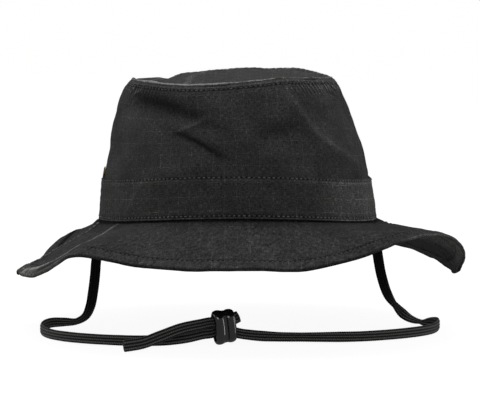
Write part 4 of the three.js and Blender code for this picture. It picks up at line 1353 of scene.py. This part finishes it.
# Vent eyelets: pressed brass rings, one above the band at each side, clenched through the wall with a
# rolled flange outside and a flat one inside.
EYELET_HEIGHT = 28.9
EYELET_SIDES = 40
# Each ring is a distance out from the middle of the cloth, and the radius there.
EYELET_RINGS = [
    (-1.65, 1.9),
    (-1.65, 3.2),
    (-1.4, 3.45),
    (-1.05, 3.2),
    (-1.05, 2.6),
    (1.05, 2.6),
    (1.05, 3.85),
    (1.2, 4.0),
    (1.45, 3.95),
    (1.72, 3.5),
    (1.85, 2.95),
    (1.78, 2.4),
    (1.5, 2.0),
    (1.0, 1.9),
    (-1.65, 1.9),
]
# Brass, pressed and worn dull: it has gone brown in patches 1 to 2 mm across, and shines a little
# between them
brass = new_material("aged_brass")
tree = brass.node_tree
place = add_node(tree, "ShaderNodeTexCoord")
stain = add_node(
    tree, "ShaderNodeTexNoise", {"Vector": place.outputs["Object"], "Scale": 700.0, "Detail": 5.0}
)
tone = add_node(tree, "ShaderNodeValToRGB", {"Fac": stain.outputs["Fac"]})
tone.color_ramp.elements[0].position = 0.35
tone.color_ramp.elements[0].color = colour("#4d4324")
tone.color_ramp.elements[1].position = 0.65
tone.color_ramp.elements[1].color = colour("#9c8b55")
dull = add_node(
    tree, "ShaderNodeMapRange", {"Value": stain.outputs["Fac"], "To Min": 0.5, "To Max": 0.25}
)
bump = add_node(
    tree, "ShaderNodeBump", {"Height": stain.outputs["Fac"], "Strength": 0.15, "Distance": 0.0001}
)
shader = add_node(
    tree,
    "ShaderNodeBsdfPrincipled",
    {
        "Base Color": tone.outputs["Color"],
        "Metallic": 1.0,
        "Roughness": dull.outputs[0],
        "Normal": bump.outputs[0],
    },
)
add_node(tree, "ShaderNodeOutputMaterial", {"Surface": shader.outputs[0]})
for name, azimuth in (("eyelet_right", 9.0), ("eyelet_left", 183.0)):
    rings = [(level, radius, radius) for level, radius in EYELET_RINGS]
    ring = drawn_rings(name + "_brass", rings, EYELET_SIDES, False)
    only(ring)
    bpy.ops.object.shade_smooth_by_angle(angle=math.radians(50))
    heights = np.array([EYELET_HEIGHT - 4, EYELET_HEIGHT, EYELET_HEIGHT + 4])
    levels = on_wall(azimuth, heights, WALL_CLOTH / 2)
    up = Vector(levels[2] - levels[0]).normalized()
    side = Vector((-math.sin(math.radians(azimuth)), math.cos(math.radians(azimuth)), 0))
    axis = side.cross(up)
    turn = Matrix((side, up, axis)).transposed().to_4x4()
    ring.data.transform(Matrix.Translation(Vector(levels[1]) * MM) @ turn)
    ring.data.materials.append(brass)
    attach(ring, "root")
    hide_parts(name)

# Studio: a white paper floor just under the straps, and soft light from overhead, from the front and
# from both sides, as for a cut-out on white. A narrow lamp low at the right draws the long lights on
# the slider. The floor isn't mirrored, and the room is dimmer in reflections, so that they stand out.
FLOOR_LEVEL = -68.4
bpy.ops.object.select_all(action="DESELECT")
bpy.ops.mesh.primitive_plane_add(size=30, location=(0, 0, FLOOR_LEVEL * MM))
floor = bpy.context.object
floor.name = "floor"
paper = new_material("white_paper")
tree = paper.node_tree
seen = add_node(tree, "ShaderNodeLightPath")
shine = add_node(
    tree, "ShaderNodeMapRange", {"Value": seen.outputs["Is Camera Ray"], "To Min": 0.09, "To Max": 0.93}
)
shader = add_node(
    tree,
    "ShaderNodeBsdfPrincipled",
    {
        "Base Color": colour("#6a6a69"),
        "Roughness": 0.9,
        "Emission Color": colour("#ffffff"),
        "Emission Strength": shine.outputs[0],
    },
)
add_node(tree, "ShaderNodeOutputMaterial", {"Surface": shader.outputs[0]})
floor.data.materials.append(paper)
floor.visible_glossy = False
world = bpy.data.worlds.new("studio")
bpy.context.scene.world = world
world.use_nodes = True
tree = world.node_tree
tree.nodes.clear()
ray = add_node(tree, "ShaderNodeLightPath")
glow = add_node(
    tree, "ShaderNodeMapRange", {"Value": ray.outputs["Is Camera Ray"], "To Min": 0.5, "To Max": 1.3}
)
mirrored = add_node(
    tree, "ShaderNodeMapRange", {"Value": ray.outputs["Is Glossy Ray"], "To Min": 1.0, "To Max": 0.45}
)
glow = add_node(
    tree, "ShaderNodeMath", {0: glow.outputs[0], 1: mirrored.outputs[0]}, operation="MULTIPLY"
)
back = add_node(tree, "ShaderNodeBackground", {"Strength": glow.outputs[0]})
add_node(tree, "ShaderNodeOutputWorld", {"Surface": back.outputs[0]})


def soft_light(name, place, size, power):
    data = bpy.data.lights.new(name, "AREA")
    data.shape = "RECTANGLE"
    data.size, data.size_y = size
    data.energy = power
    light = bpy.data.objects.new(name, data)
    light.location = place
    aim = Vector((0, 0, 0.02)) - Vector(place)
    light.rotation_euler = aim.to_track_quat("-Z", "Y").to_euler()
    bpy.context.scene.collection.objects.link(light)


soft_light("overhead", (0, 0.1, 1.5), (1.6, 1.2), 9)
soft_light("front", (0, -2.2, 1.1), (1.4, 0.8), 7)
soft_light("left", (-1.5, 0.2, 0.6), (0.9, 1.2), 4)
soft_light("right", (1.5, 0.2, 0.6), (0.9, 1.2), 2.3)
soft_light("right_strip", (1.7, -0.35, 0.0), (0.16, 1.2), 2.0)
bpy.context.scene.view_settings.view_transform = "Standard"
bpy.context.scene.view_settings.look = "None"
